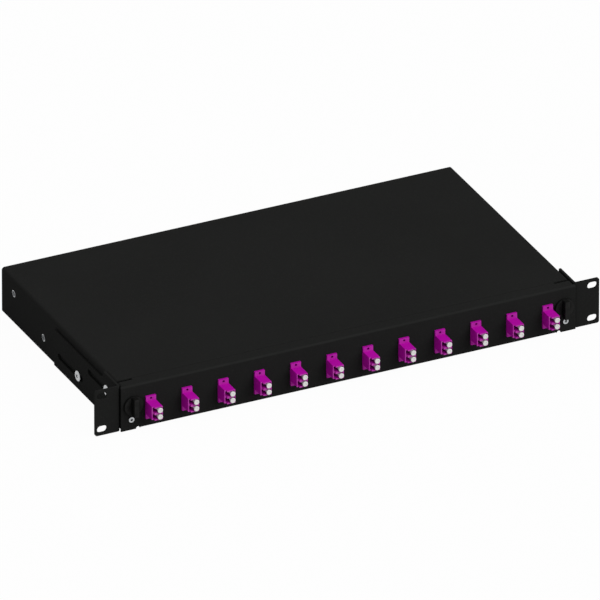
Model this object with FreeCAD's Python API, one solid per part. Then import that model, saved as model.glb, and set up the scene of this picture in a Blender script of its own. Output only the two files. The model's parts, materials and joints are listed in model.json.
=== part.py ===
import FreeCAD, Part
import math
import os

# Sliding fibre patch panel, one rack unit high, for a 19-inch rack. All sizes are millimetres.
# X runs to the right seen from the front, Y to the back and Z up. The origin is the middle of the
# four rack slots, on the rear face of the ears, where they lie against the rack rails.
# Pieces that come in pairs are drawn for the right-hand side and mirrored for the left.

Vector = FreeCAD.Vector

# Rack ears
RACK_SLOT_SPACING_X = 465.1
RACK_SLOT_SPACING_Z = 31.75
RACK_SLOT_LENGTH = 9.5
RACK_SLOT_WIDTH = 6.5
EAR_SLOT_OFFSET = 17.45
EAR_TIP_MARGIN = 6.6
EAR_HEIGHT = 43.4
EAR_SHEET = 2.0
EAR_BEND = 1.0
EAR_CORNER_RADIUS = 2.0
EAR_WALL_CLEARANCE = 0.2
EAR_FLANGE_END = 127.5
EAR_FLANGE_BOTTOM_INSET = 1.6
EAR_TALL_END = 28.0
EAR_LOW_TOP = 14.3
EAR_SLOT_LENGTH = 50.0
EAR_SLOT_WIDTH = 5.5
EAR_UPPER_SLOT_START = 9.5
EAR_LOWER_SLOT_START = 70.0
EAR_UPPER_SLOT_Z = 6.8
EAR_LOWER_SLOT_Z = -7.2

# Housing: a cover folded over a base, with a rear wall welded in
HOUSING_HEIGHT = 41.9
HOUSING_TOP = 21.0
HOUSING_FRONT = 8.5
HOUSING_DEPTH = 229.3
HOUSING_SHEET = 1.2
COVER_BEND = 1.6
BASE_BEND = 1.0
BASE_WALL_TOP_GAP = 3.5
REAR_WALL_TOP_GAP = 0.2
BEND_RELIEF = 0.8

# Cable entries in the rear wall
ENTRY_HOLE_RADIUS = 10.25
ENTRY_PITCH = 50.0
ENTRY_GROUP_OFFSET = 135.0
GROMMET_FLANGE_RADIUS = 13.0
GROMMET_OUTER_FLANGE = 2.0
GROMMET_INNER_FLANGE = 1.8
GROMMET_BORE_RADIUS = 4.5
GROMMET_FIT = 0.05

# Press nuts in the side walls, and the ear screws in the front four
NUT_SHANK_RADIUS = 3.25
NUT_COLLAR_RADIUS = 4.4
NUT_COLLAR_HEIGHT = 1.3
NUT_FIT = 0.05
NUT_FLUSH_DEPTH = 0.2
REAR_NUT_INSET = 23.8
REAR_NUT_SPACING = 60.0
UPPER_SCREW_OFFSET = 12.0
LOWER_SCREW_OFFSET = 9.0
EAR_SCREW_RADIUS = 2.5
EAR_SCREW_HEAD_RADIUS = 4.75
EAR_SCREW_HEAD_HEIGHT = 1.3
EAR_SCREW_LENGTH = 5.2
EAR_SCREW_SEAT_GAP = 0.05
THREAD_FIT = 0.05
CROSS_RECESS_WIDTH = 1.3
CROSS_RECESS_DEPTH = 0.8

# Telescopic slides with a ball cage
SLIDE_THICKNESS = 12.7
SLIDE_SHEET = 1.2
SLIDE_BEND = 0.4
SLIDE_SETBACK = 7.5
SLIDE_REAR_ROOM = 21.8
SLIDE_HEIGHT_CLEARANCE = 2.2
BALL_RADIUS = 1.7
BALL_GAP = 0.3
BALL_SIDE_GAP = 0.25
CAGE_LENGTH = 44.0
CAGE_SHEET = 0.6
CAGE_BEND = 0.3
CAGE_GAP = 0.6
CAGE_FLANGE_END_GAP = 0.4
BALLS_PER_ROW = 5
BALL_POCKET_CLEARANCE = 0.1
DRAWER_TRAVEL = 150.0
CAGE_END_ROOM = 3.0
NUT_WINDOW_CLEARANCE = 0.3

# Drawer tray
TRAY_SHEET = 1.2
TRAY_BEND = 1.0
TRAY_FLOOR_CLEARANCE = 1.0
TRAY_SIDE_HEIGHT = 32.7
TRAY_FRONT_UPSTAND = 8.2
TRAY_REAR_LIP = 12.0
TRAY_CORNER_GAP = 4.0
TRAY_SIDE_FRONT_GAP = 3.2
TAB_WIDTH = 11.2
TAB_LEG = 14.0
TAB_FLOOR_GAP = 0.95
TAB_BUSH_GAP = 1.85
SLIDE_SCREW_RADIUS = 2.0
SLIDE_SCREW_HEAD_RADIUS = 3.8
SLIDE_SCREW_HEAD_HEIGHT = 1.2
SLIDE_NUT_RADIUS = 3.6
SLIDE_NUT_HEIGHT = 2.0
SLIDE_SCREW_END_MARGIN = 30.0
SLIDE_SCREW_COUNT = 3

# Front panel of the drawer
PANEL_OVERHANG = 0.7
PANEL_SHEET = 1.5
PANEL_BEND = 0.5
PANEL_DROP = 0.8
PANEL_EAR_GAP = 0.6
PANEL_COVER_GAP = 0.3
PANEL_FLANGE_SIDE_GAP = 0.4
PANEL_END_NOTCH = 2.4
PANEL_NOTCH_INSET = 2.7
PANEL_RETURN_GAP = 1.0
PANEL_RETURN_INSET = 1.2
PANEL_RELIEF_RADIUS = 2.0
PANEL_LOWER_FLANGE_INSET = 2.2

# Duplex adapters
ADAPTER_COUNT = 12
ADAPTER_KNOB_GAP = 2.335
ADAPTER_DROP = 23.65
ADAPTER_WIDTH = 9.3
ADAPTER_HEIGHT = 12.6
ADAPTER_FRONT = 15.3
ADAPTER_REAR = 13.6
ADAPTER_FLANGE_WIDTH = 9.4
ADAPTER_FLANGE_HEIGHT = 21.6
ADAPTER_FLANGE_THICKNESS = 2.0
ADAPTER_FLANGE_HOLE_RADIUS = 1.1
ADAPTER_FLANGE_HOLE_SPACING = 17.3
ADAPTER_EDGE = 0.3
ADAPTER_STEP_WIDTH = 1.75
ADAPTER_STEP_DEPTH = 2.1
ADAPTER_CUTOUT_FIT = 0.1
PORT_SIZE = 4.9
PORT_OFFSET = 1.8
PORT_PITCH = 6.25
PORT_DEPTH = 11.5
LATCH_SLOT_HEIGHT = 4.2
LATCH_SLOT_REACH = 3.1
SLEEVE_RADIUS = 1.25
SLEEVE_BORE_RADIUS = 0.63
SLEEVE_STANDOUT = 2.0
SLEEVE_FIT = 0.05
CAP_RADIUS = 2.38
CAP_STANDOUT = 1.6
CAP_HEAD = 0.7
CAP_STEM_RADIUS = 1.65
CAP_EDGE = 0.25
CAP_BORE_RADIUS = 1.3
CAP_BORE_DEPTH = 3.0
CLIP_SHEET = 0.4
CLIP_LENGTH = 6.0
CLIP_LEG = 10.5
CLIP_FIT = 0.05

# Quarter-turn latches
LATCH_OFFSET = 4.5
LATCH_DROP = 19.2
KNOB_RADIUS = 9.0
KNOB_DISC = 2.0
KNOB_PROUD = 7.6
KNOB_FIN_WIDTH = 4.7
KNOB_FIN_LENGTH = 17.4
KNOB_EDGE = 0.5
KNOB_PANEL_GAP = 0.2
LATCH_SHAFT_RADIUS = 3.5
LATCH_SHAFT_FIT = 0.08
BUSH_RADIUS = 4.95
BUSH_FLANGE_RADIUS = 7.0
BUSH_FLANGE = 1.6
BUSH_TAIL = 1.0
BUSH_FIT = 0.05
PAWL_SHEET = 1.6
PAWL_KEEPER_GAP = 0.4
PAWL_TIP_GAP = 0.8
KEEPER_SHAFT_GAP = 0.5
KEEPER_HALF_HEIGHT = 5.0
PAWL_SCREW_RADIUS = 1.5
PAWL_SCREW_LENGTH = 6.0
PAWL_SCREW_HEAD_RADIUS = 2.75
PAWL_SCREW_HEAD_HEIGHT = 1.8

# Screws that hold the panel to the tray
PANEL_SCREW_OFFSET = 6.2
PANEL_SCREW_RADIUS = 1.5
PANEL_SCREW_LENGTH = 6.0
PANEL_SCREW_HEAD_RADIUS = 2.6
PANEL_SCREW_HEAD_HEIGHT = 0.8
PANEL_SCREW_HOLE_RADIUS = 1.7
PANEL_SCREW_SOCKET_RADIUS = 1.1
PANEL_SCREW_SOCKET_DEPTH = 1.1
PANEL_NUT_RADIUS = 3.0
PANEL_NUT_HEIGHT = 2.4

# Splice cassette and fibre guides on the tray
CASSETTE_REAR_ROOM = 42.0
CASSETTE_WIDTH = 180.0
CASSETTE_DEPTH = 112.0
CASSETTE_HEIGHT = 9.0
CASSETTE_WALL = 1.6
CASSETTE_CORNER = 24.0
CASSETTE_LID = 1.5
CASSETTE_BOSS_RADIUS = 7.0
CASSETTE_GATE_WIDTH = 10.0
CASSETTE_DRUM_RADIUS = 24.0
CASSETTE_DRUM_OFFSET = 46.0
COMB_RIBS = 13
COMB_RIB_PITCH = 3.2
COMB_RIB_THICKNESS = 1.2
COMB_LENGTH = 36.0
COMB_HEIGHT = 5.0
STUD_RADIUS = 2.5
STUD_FIT = 0.2
STUD_ABOVE_LID = 7.5
THUMB_NUT_RADIUS = 7.0
THUMB_NUT_HEIGHT = 6.0
GUIDE_OUTER_RADIUS = 9.0
GUIDE_WALL = 1.6
GUIDE_WIDTH = 10.0
GUIDE_MOUTH = 5.0
GUIDE_BASE = 20.0
GUIDE_SIDE_ROOM = 42.0
GUIDE_END_ROOM = 34.0

# Places worked out from the sizes above
FRONT_OF_EARS = -EAR_SHEET
RACK_SLOT_X = RACK_SLOT_SPACING_X / 2
EAR_TIP = RACK_SLOT_X + EAR_TIP_MARGIN
EAR_INSIDE = RACK_SLOT_X - EAR_SLOT_OFFSET
EAR_OUTSIDE = EAR_INSIDE + EAR_SHEET
EAR_TOP = EAR_HEIGHT / 2
EAR_BOTTOM = -EAR_HEIGHT / 2
EAR_FLANGE_BOTTOM = EAR_BOTTOM + EAR_FLANGE_BOTTOM_INSET

HALF_HOUSING = EAR_INSIDE - EAR_WALL_CLEARANCE
HOUSING_REAR = HOUSING_FRONT + HOUSING_DEPTH
HOUSING_BOTTOM = HOUSING_TOP - HOUSING_HEIGHT
BASE_OUTSIDE = HALF_HOUSING - HOUSING_SHEET
BASE_INSIDE = BASE_OUTSIDE - HOUSING_SHEET
FLOOR_TOP = HOUSING_BOTTOM + HOUSING_SHEET
COVER_UNDERSIDE = HOUSING_TOP - HOUSING_SHEET
REAR_WALL_INSIDE = HOUSING_REAR - HOUSING_SHEET

REAR_NUT_Y = HOUSING_REAR - REAR_NUT_INSET
NUT_PLACES = (
    (EAR_UPPER_SLOT_START + UPPER_SCREW_OFFSET, EAR_UPPER_SLOT_Z),
    (EAR_LOWER_SLOT_START + LOWER_SCREW_OFFSET, EAR_LOWER_SLOT_Z),
    (REAR_NUT_Y - REAR_NUT_SPACING, EAR_LOWER_SLOT_Z),
    (REAR_NUT_Y, EAR_UPPER_SLOT_Z),
)
EAR_SCREW_PLACES = NUT_PLACES[:2]

SLIDE_FRONT = HOUSING_FRONT + SLIDE_SETBACK
SLIDE_REAR = HOUSING_REAR - SLIDE_REAR_ROOM
SLIDE_LENGTH = SLIDE_REAR - SLIDE_FRONT
SLIDE_MIDDLE_Z = (FLOOR_TOP + COVER_UNDERSIDE) / 2
SLIDE_HALF_HEIGHT = (COVER_UNDERSIDE - FLOOR_TOP) / 2 - SLIDE_HEIGHT_CLEARANCE
TRAY_OUTSIDE = BASE_INSIDE - SLIDE_THICKNESS
TRAY_INSIDE = TRAY_OUTSIDE - TRAY_SHEET
TRAY_UNDERSIDE = FLOOR_TOP + TRAY_FLOOR_CLEARANCE
TRAY_FLOOR = TRAY_UNDERSIDE + TRAY_SHEET
OUTER_RACE = SLIDE_HALF_HEIGHT - SLIDE_SHEET
INNER_RACE = OUTER_RACE - 2 * (BALL_RADIUS + BALL_GAP)
BALL_LINE = (OUTER_RACE + INNER_RACE) / 2
BALL_X = (TRAY_OUTSIDE + BASE_INSIDE) / 2
LIP_REACH = BALL_RADIUS + BALL_SIDE_GAP + SLIDE_SHEET / 2
OUTER_LIP_X = BALL_X - LIP_REACH
INNER_LIP_X = BALL_X + LIP_REACH

PANEL_REAR = FRONT_OF_EARS - PANEL_EAR_GAP
PANEL_FRONT = PANEL_REAR - PANEL_SHEET
HALF_PANEL = HALF_HOUSING + PANEL_OVERHANG
PANEL_BOTTOM = HOUSING_BOTTOM - PANEL_DROP
PANEL_FLANGE_REAR = HOUSING_FRONT - PANEL_COVER_GAP
PANEL_FLANGE_HALF = EAR_INSIDE - PANEL_FLANGE_SIDE_GAP
PANEL_RETURN_FRONT = PANEL_REAR + PANEL_RETURN_GAP
HALF_LOWER_FLANGE = TRAY_OUTSIDE - PANEL_LOWER_FLANGE_INSET
TRAY_SIDE_FRONT = PANEL_REAR + TRAY_SIDE_FRONT_GAP

LATCH_X = TRAY_OUTSIDE + LATCH_OFFSET
LATCH_Z = HOUSING_TOP - LATCH_DROP
KEEPER_EDGE = LATCH_X + LATCH_SHAFT_RADIUS + KEEPER_SHAFT_GAP
PAWL_FRONT = HOUSING_FRONT + HOUSING_SHEET + PAWL_KEEPER_GAP
PAWL_REAR = PAWL_FRONT + PAWL_SHEET
PAWL_REACH = BASE_INSIDE - PAWL_TIP_GAP - LATCH_X
TAB_BOTTOM = TRAY_FLOOR + TAB_FLOOR_GAP
TAB_HEIGHT = LATCH_Z - BUSH_FLANGE_RADIUS - TAB_BUSH_GAP - TAB_BOTTOM
PANEL_SCREW_X = TRAY_OUTSIDE + PANEL_SCREW_OFFSET
PANEL_SCREW_Z = TAB_BOTTOM + TAB_HEIGHT / 2

OUTER_ADAPTER_X = LATCH_X - KNOB_RADIUS - ADAPTER_KNOB_GAP - ADAPTER_FLANGE_WIDTH / 2
ADAPTER_PITCH = 2 * OUTER_ADAPTER_X / (ADAPTER_COUNT - 1)
ADAPTER_Z = HOUSING_TOP - ADAPTER_DROP
ADAPTER_TIP = PANEL_FRONT - ADAPTER_FRONT
ADAPTER_TAIL = PANEL_FRONT + ADAPTER_REAR
CASSETTE_Y = SLIDE_REAR - CASSETTE_REAR_ROOM - CASSETTE_DEPTH / 2
CASSETTE_TOP = TRAY_FLOOR + CASSETTE_HEIGHT


# Shape helpers

def block(x0, x1, y0, y1, z0, z1):
    """Box between two corners, given as a range along each axis."""
    return Part.makeBox(x1 - x0, y1 - y0, z1 - z0, Vector(x0, y0, z0))


def rod(radius, start, end):
    """Round bar between two points."""
    run = end.sub(start)
    return Part.makeCylinder(radius, run.Length, start, run)


def rod_x(radius, x0, x1, y, z):
    """Round bar along X."""
    return rod(radius, Vector(x0, y, z), Vector(x1, y, z))


def rod_y(radius, y0, y1, x, z):
    """Round bar along Y."""
    return rod(radius, Vector(x, y0, z), Vector(x, y1, z))


def rod_z(radius, z0, z1, x, y):
    """Round bar along Z."""
    return rod(radius, Vector(x, y, z0), Vector(x, y, z1))


def joined(shapes):
    """One clean solid from shapes that overlap or meet."""
    return shapes[0].fuse(shapes[1:]).removeSplitter()


def mirrored(shape):
    """The left-hand twin of a right-hand shape."""
    return shape.mirror(Vector(0, 0, 0), Vector(1, 0, 0))


def both_sides(shapes):
    """The given right-hand shapes and their left-hand twins."""
    return list(shapes) + [mirrored(shape) for shape in shapes]


def group(shapes):
    """Separate solids kept together in one file."""
    return Part.makeCompound(list(shapes))


def face_of(runs):
    """Flat face inside a closed outline: two points make a line, three an arc."""
    edges = []
    for run in runs:
        if len(run) == 2:
            edges.append(Part.LineSegment(*run).toShape())
        else:
            edges.append(Part.Arc(*run).toShape())
    return Part.Face(Part.Wire(edges))


def slot_cutter(first, second, radius, through):
    """Solid of a round-ended slot from one end's centre to the other's, swept along a vector."""
    along = second.sub(first).normalize()
    across = through.cross(along).normalize().multiply(radius)
    ahead = Vector(along).multiply(radius)
    runs = (
        (first.add(across), second.add(across)),
        (second.add(across), second.add(ahead), second.sub(across)),
        (second.sub(across), first.sub(across)),
        (first.sub(across), first.sub(ahead), first.add(across)),
    )
    return face_of(runs).extrude(through)


def left_of(heading):
    """Direction to the left of a heading in the flat plane."""
    return Vector(-heading.y, heading.x, 0)


def strip_side(path, offset, bend):
    """One face line of a folded strip: the centre line moved to its left, with concentric bends."""
    first = path[1].sub(path[0]).normalize()
    last = path[-1].sub(path[-2]).normalize()
    start = path[0].add(left_of(first).multiply(offset))
    runs = []
    for before, corner, after in zip(path, path[1:], path[2:]):
        arrive = corner.sub(before).normalize()
        leave = after.sub(corner).normalize()
        turn = 1 if arrive.cross(leave).z > 0 else -1
        setback = bend * math.tan(arrive.getAngle(leave) / 2)
        bend_start = corner.sub(Vector(arrive).multiply(setback))
        bend_end = corner.add(Vector(leave).multiply(setback))
        centre = bend_start.add(left_of(arrive).multiply(turn * bend))
        crown = centre.add(corner.sub(centre).normalize().multiply(bend - turn * offset))
        entry = bend_start.add(left_of(arrive).multiply(offset))
        exit_point = bend_end.add(left_of(leave).multiply(offset))
        runs.append((start, entry))
        runs.append((entry, crown, exit_point))
        start = exit_point
    runs.append((start, path[-1].add(left_of(last).multiply(offset))))
    return runs


def folded(path, sheet, inner_bend, lay, sweep):
    """Solid of a folded strip: centre line points in a flat plane, laid into space and swept."""
    points = [Vector(a, b, 0) for a, b in path]
    bend = inner_bend + sheet / 2
    near = strip_side(points, sheet / 2, bend)
    far = strip_side(points, -sheet / 2, bend)
    back = [tuple(reversed(run)) for run in reversed(far)]
    runs = near + [(near[-1][-1], back[0][0])] + back + [(back[-1][-1], near[0][0])]
    laid = [tuple(lay(point) for point in run) for run in runs]
    return face_of(laid).extrude(sweep)


# Laying flat profiles into space

def across_at(y):
    """Profile points (x, z) laid in the plane at depth y."""
    return lambda point: Vector(point.x, y, point.y)


def along_at(x):
    """Profile points (y, z) laid in the plane at width x."""
    return lambda point: Vector(x, point.x, point.y)


def level_at(z):
    """Profile points (x, y) laid in the plane at height z."""
    return lambda point: Vector(point.x, point.y, z)


# Housing

def nut_holes(radius, places, x0, x1):
    """Round bars along X through a wall, one for each place given as depth and height."""
    return [rod_x(radius, x0, x1, y, z) for y, z in places]


def housing_cover():
    """Top and both side walls of the housing, one folded sheet."""
    wall = HALF_HOUSING - HOUSING_SHEET / 2
    top = HOUSING_TOP - HOUSING_SHEET / 2
    path = [(-wall, HOUSING_BOTTOM), (-wall, top), (wall, top), (wall, HOUSING_BOTTOM)]
    sheet = folded(path, HOUSING_SHEET, COVER_BEND, across_at(HOUSING_FRONT), Vector(0, HOUSING_DEPTH, 0))
    holes = nut_holes(NUT_SHANK_RADIUS + NUT_FIT, NUT_PLACES, BASE_OUTSIDE, HALF_HOUSING)
    return sheet.cut(both_sides(holes))


def latch_keeper():
    """Tab folded in from the front edge of a base wall, behind which the pawl locks."""
    wall = BASE_OUTSIDE - HOUSING_SHEET / 2
    front = HOUSING_FRONT + HOUSING_SHEET / 2
    path = [(wall, SLIDE_FRONT), (wall, front), (KEEPER_EDGE, front)]
    low = LATCH_Z - KEEPER_HALF_HEIGHT
    return folded(path, HOUSING_SHEET, BASE_BEND, level_at(low), Vector(0, 0, 2 * KEEPER_HALF_HEIGHT))


def entry_places():
    """Width positions of the cable entries, from left to right."""
    inner = ENTRY_GROUP_OFFSET - ENTRY_PITCH / 2
    outer = ENTRY_GROUP_OFFSET + ENTRY_PITCH / 2
    return (-outer, -inner, inner, outer)


def housing_base():
    """Floor and inner side walls of the housing, one folded sheet with a keeper tab on each side."""
    wall = BASE_OUTSIDE - HOUSING_SHEET / 2
    floor = HOUSING_BOTTOM + HOUSING_SHEET / 2
    wall_top = HOUSING_TOP - BASE_WALL_TOP_GAP
    outer_bend = BASE_BEND + HOUSING_SHEET
    path = [(-wall, wall_top), (-wall, floor), (wall, floor), (wall, wall_top)]
    trough = folded(path, HOUSING_SHEET, BASE_BEND, across_at(HOUSING_FRONT), Vector(0, HOUSING_DEPTH, 0))

    keeper_low = LATCH_Z - KEEPER_HALF_HEIGHT - BEND_RELIEF
    keeper_high = LATCH_Z + KEEPER_HALF_HEIGHT + BEND_RELIEF
    keeper_end = HOUSING_FRONT + outer_bend
    relief = block(BASE_INSIDE, BASE_OUTSIDE, HOUSING_FRONT, keeper_end, keeper_low, keeper_high)
    trough = trough.cut(both_sides([relief]))
    shell = joined([trough] + both_sides([latch_keeper()]))
    holes = nut_holes(NUT_SHANK_RADIUS + NUT_FIT, NUT_PLACES, BASE_INSIDE, BASE_OUTSIDE)
    return shell.cut(both_sides(holes))


def housing_rear():
    """Flat rear wall with the cable entries, tack-welded to the floor and the inner side walls."""
    top = COVER_UNDERSIDE - REAR_WALL_TOP_GAP
    wall = block(-BASE_INSIDE, BASE_INSIDE, REAR_WALL_INSIDE, HOUSING_REAR, FLOOR_TOP, top)
    bend_start = BASE_INSIDE - BASE_BEND
    bend_top = FLOOR_TOP + BASE_BEND
    corner = block(bend_start, BASE_INSIDE, REAR_WALL_INSIDE, HOUSING_REAR, FLOOR_TOP, bend_top)
    cuts = both_sides([corner])
    for x in entry_places():
        cuts.append(rod_y(ENTRY_HOLE_RADIUS, REAR_WALL_INSIDE, HOUSING_REAR, x, SLIDE_MIDDLE_Z))
    return wall.cut(cuts)


def grommet(x, bore):
    """Rubber ring that snaps into a cable entry; without a bore it is a blanking plug."""
    z = SLIDE_MIDDLE_Z
    start = REAR_WALL_INSIDE - GROMMET_INNER_FLANGE
    end = HOUSING_REAR + GROMMET_OUTER_FLANGE
    outer = rod_y(GROMMET_FLANGE_RADIUS, HOUSING_REAR, end, x, z)
    neck = rod_y(ENTRY_HOLE_RADIUS - GROMMET_FIT, REAR_WALL_INSIDE, HOUSING_REAR, x, z)
    inner = rod_y(GROMMET_FLANGE_RADIUS, start, REAR_WALL_INSIDE, x, z)
    ring = joined([outer, neck, inner])
    if bore:
        return ring.cut(rod_y(GROMMET_BORE_RADIUS, start, end, x, z))
    return ring.cut(rod_y(ENTRY_HOLE_RADIUS - GROMMET_OUTER_FLANGE, HOUSING_REAR, end, x, z))


def cable_grommets():
    """Grommets in the two outer cable entries."""
    places = entry_places()
    return group(grommet(x, True) for x in (places[0], places[-1]))


def blanking_plugs():
    """Closed plugs in the two inner cable entries."""
    return group(grommet(x, False) for x in entry_places()[1:-1])


def press_nuts():
    """Nuts pressed into the side walls, flush outside."""
    nuts = []
    for y, z in NUT_PLACES:
        collar = rod_x(NUT_COLLAR_RADIUS, BASE_INSIDE - NUT_COLLAR_HEIGHT, BASE_INSIDE, y, z)
        shank = rod_x(NUT_SHANK_RADIUS, BASE_INSIDE, HALF_HOUSING - NUT_FLUSH_DEPTH, y, z)
        bore = rod_x(EAR_SCREW_RADIUS + THREAD_FIT, BASE_INSIDE - NUT_COLLAR_HEIGHT, HALF_HOUSING, y, z)
        nuts.append(joined([collar, shank]).cut(bore))
    return group(both_sides(nuts))


def ear_screws():
    """Pan-head screws that clamp the ears through their slots."""
    seat = EAR_OUTSIDE + EAR_SCREW_SEAT_GAP
    top = seat + EAR_SCREW_HEAD_HEIGHT
    edge = EAR_SCREW_HEAD_HEIGHT / 3
    half = CROSS_RECESS_WIDTH / 2
    reach = EAR_SCREW_HEAD_RADIUS / 2
    screws = []
    for y, z in EAR_SCREW_PLACES:
        head = rod_x(EAR_SCREW_HEAD_RADIUS, seat, top, y, z)
        rim = [line for line in head.Edges if line.BoundBox.XMin > top - edge]
        head = head.makeFillet(edge, rim)
        shank = rod_x(EAR_SCREW_RADIUS, seat - EAR_SCREW_LENGTH, seat, y, z)
        floor = top - CROSS_RECESS_DEPTH
        upright = block(floor, top, y - half, y + half, z - reach, z + reach)
        level = block(floor, top, y - reach, y + reach, z - half, z + half)
        screws.append(joined([head, shank]).cut([upright, level]))
    return group(both_sides(screws))


# Rack ears

def rack_ear():
    """Right-hand rack ear: plate with rack slots, folded back into a flange with adjusting slots."""
    plate = -EAR_SHEET / 2
    flange = EAR_INSIDE + EAR_SHEET / 2
    path = [(EAR_TIP, plate), (flange, plate), (flange, EAR_FLANGE_END)]
    ear = folded(path, EAR_SHEET, EAR_BEND, level_at(EAR_BOTTOM), Vector(0, 0, EAR_HEIGHT))
    outer_edges = [line for line in ear.Edges if line.BoundBox.XMin > EAR_TIP - EAR_CORNER_RADIUS]
    corners = [line for line in outer_edges if line.BoundBox.YLength > EAR_SHEET / 2]
    ear = ear.makeFillet(EAR_CORNER_RADIUS, corners)

    step = EAR_TOP - EAR_LOW_TOP
    step_end = EAR_TALL_END + step
    diagonal = step * math.sqrt(0.5)
    halfway = Vector(EAR_INSIDE, step_end - diagonal, EAR_TOP - diagonal)
    start = Vector(EAR_INSIDE, EAR_TALL_END, EAR_TOP)
    foot = Vector(EAR_INSIDE, step_end, EAR_LOW_TOP)
    end_low = Vector(EAR_INSIDE, EAR_FLANGE_END, EAR_LOW_TOP)
    end_high = Vector(EAR_INSIDE, EAR_FLANGE_END, EAR_TOP)
    runs = ((start, halfway, foot), (foot, end_low), (end_low, end_high), (end_high, start))
    above = face_of(runs).extrude(Vector(EAR_SHEET, 0, 0))
    below = block(EAR_INSIDE, EAR_OUTSIDE, EAR_BEND, EAR_FLANGE_END, EAR_BOTTOM, EAR_FLANGE_BOTTOM)

    cuts = [above, below]
    reach = RACK_SLOT_LENGTH / 2 - RACK_SLOT_WIDTH / 2
    for z in (-RACK_SLOT_SPACING_Z / 2, RACK_SLOT_SPACING_Z / 2):
        first = Vector(RACK_SLOT_X - reach, FRONT_OF_EARS, z)
        second = Vector(RACK_SLOT_X + reach, FRONT_OF_EARS, z)
        cuts.append(slot_cutter(first, second, RACK_SLOT_WIDTH / 2, Vector(0, EAR_SHEET, 0)))
    half = EAR_SLOT_WIDTH / 2
    for begin, z in ((EAR_UPPER_SLOT_START, EAR_UPPER_SLOT_Z), (EAR_LOWER_SLOT_START, EAR_LOWER_SLOT_Z)):
        first = Vector(EAR_INSIDE, begin + half, z)
        second = Vector(EAR_INSIDE, begin + EAR_SLOT_LENGTH - half, z)
        cuts.append(slot_cutter(first, second, half, Vector(EAR_SHEET, 0, 0)))
    return ear.cut(cuts)


# Telescopic slides

def slide_outer():
    """Right-hand outer slide member: a channel on the housing wall, with windows for the press nuts."""
    web = BASE_INSIDE - SLIDE_SHEET / 2
    flange = SLIDE_HALF_HEIGHT - SLIDE_SHEET / 2
    half = [(OUTER_LIP_X, BALL_LINE + BALL_GAP), (OUTER_LIP_X, flange), (web, flange)]
    path = [(x, SLIDE_MIDDLE_Z + z) for x, z in half]
    path += [(x, SLIDE_MIDDLE_Z - z) for x, z in reversed(half)]
    channel = folded(path, SLIDE_SHEET, SLIDE_BEND, across_at(SLIDE_FRONT), Vector(0, SLIDE_LENGTH, 0))
    window = NUT_COLLAR_RADIUS + NUT_WINDOW_CLEARANCE
    return channel.cut(nut_holes(window, NUT_PLACES, BASE_INSIDE - SLIDE_SHEET, BASE_INSIDE))


def slide_screw_places():
    """Depth positions of the screws that hold an inner slide member to the tray."""
    first = SLIDE_FRONT + SLIDE_SCREW_END_MARGIN
    run = SLIDE_LENGTH - 2 * SLIDE_SCREW_END_MARGIN
    return [first + run * index / (SLIDE_SCREW_COUNT - 1) for index in range(SLIDE_SCREW_COUNT)]


def slide_inner():
    """Right-hand inner slide member: a smaller channel on the tray side."""
    web = TRAY_OUTSIDE + SLIDE_SHEET / 2
    flange = INNER_RACE - SLIDE_SHEET / 2
    half = [(INNER_LIP_X, BALL_LINE - BALL_GAP), (INNER_LIP_X, flange), (web, flange)]
    path = [(x, SLIDE_MIDDLE_Z + z) for x, z in half]
    path += [(x, SLIDE_MIDDLE_Z - z) for x, z in reversed(half)]
    channel = folded(path, SLIDE_SHEET, SLIDE_BEND, across_at(SLIDE_FRONT), Vector(0, SLIDE_LENGTH, 0))
    places = [(y, SLIDE_MIDDLE_Z) for y in slide_screw_places()]
    hole_radius = SLIDE_SCREW_RADIUS + THREAD_FIT
    return channel.cut(nut_holes(hole_radius, places, TRAY_OUTSIDE, TRAY_OUTSIDE + SLIDE_SHEET))


def cage_start():
    """Depth where the ball cage begins with the drawer shut."""
    return SLIDE_FRONT + CAGE_END_ROOM + DRAWER_TRAVEL / 2


def ball_centres():
    """Centres of the balls of the right-hand slide, upper and lower row."""
    pitch = CAGE_LENGTH / BALLS_PER_ROW
    centres = []
    for index in range(BALLS_PER_ROW):
        y = cage_start() + pitch * (index + 0.5)
        for side in (1, -1):
            centres.append(Vector(BALL_X, y, SLIDE_MIDDLE_Z + side * BALL_LINE))
    return centres


def ball_cage():
    """Right-hand ball cage: a thin channel between the slide members, with a pocket for each ball."""
    web = INNER_LIP_X + SLIDE_SHEET / 2 + CAGE_GAP + CAGE_SHEET / 2
    end = OUTER_LIP_X + SLIDE_SHEET / 2 + CAGE_FLANGE_END_GAP
    flange = BALL_LINE + CAGE_SHEET / 2
    half = [(end, flange), (web, flange)]
    path = [(x, SLIDE_MIDDLE_Z + z) for x, z in half]
    path += [(x, SLIDE_MIDDLE_Z - z) for x, z in reversed(half)]
    channel = folded(path, CAGE_SHEET, CAGE_BEND, across_at(cage_start()), Vector(0, CAGE_LENGTH, 0))
    pockets = []
    for centre in ball_centres():
        reach = Vector(0, 0, BALL_RADIUS)
        pockets.append(rod(BALL_RADIUS + BALL_POCKET_CLEARANCE, centre.sub(reach), centre.add(reach)))
    return channel.cut(pockets)


def cage_balls():
    """Balls of the right-hand slide."""
    return group(Part.makeSphere(BALL_RADIUS, centre) for centre in ball_centres())


# Drawer

def panel_tab():
    """Tab folded out from the front edge of the right tray side, to carry the panel screw."""
    side = TRAY_OUTSIDE - TRAY_SHEET / 2
    front = PANEL_REAR + TRAY_SHEET / 2
    path = [(side, front + TAB_LEG), (side, front), (TRAY_OUTSIDE + TAB_WIDTH, front)]
    return folded(path, TRAY_SHEET, TRAY_BEND, level_at(TAB_BOTTOM), Vector(0, 0, TAB_HEIGHT))


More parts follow.
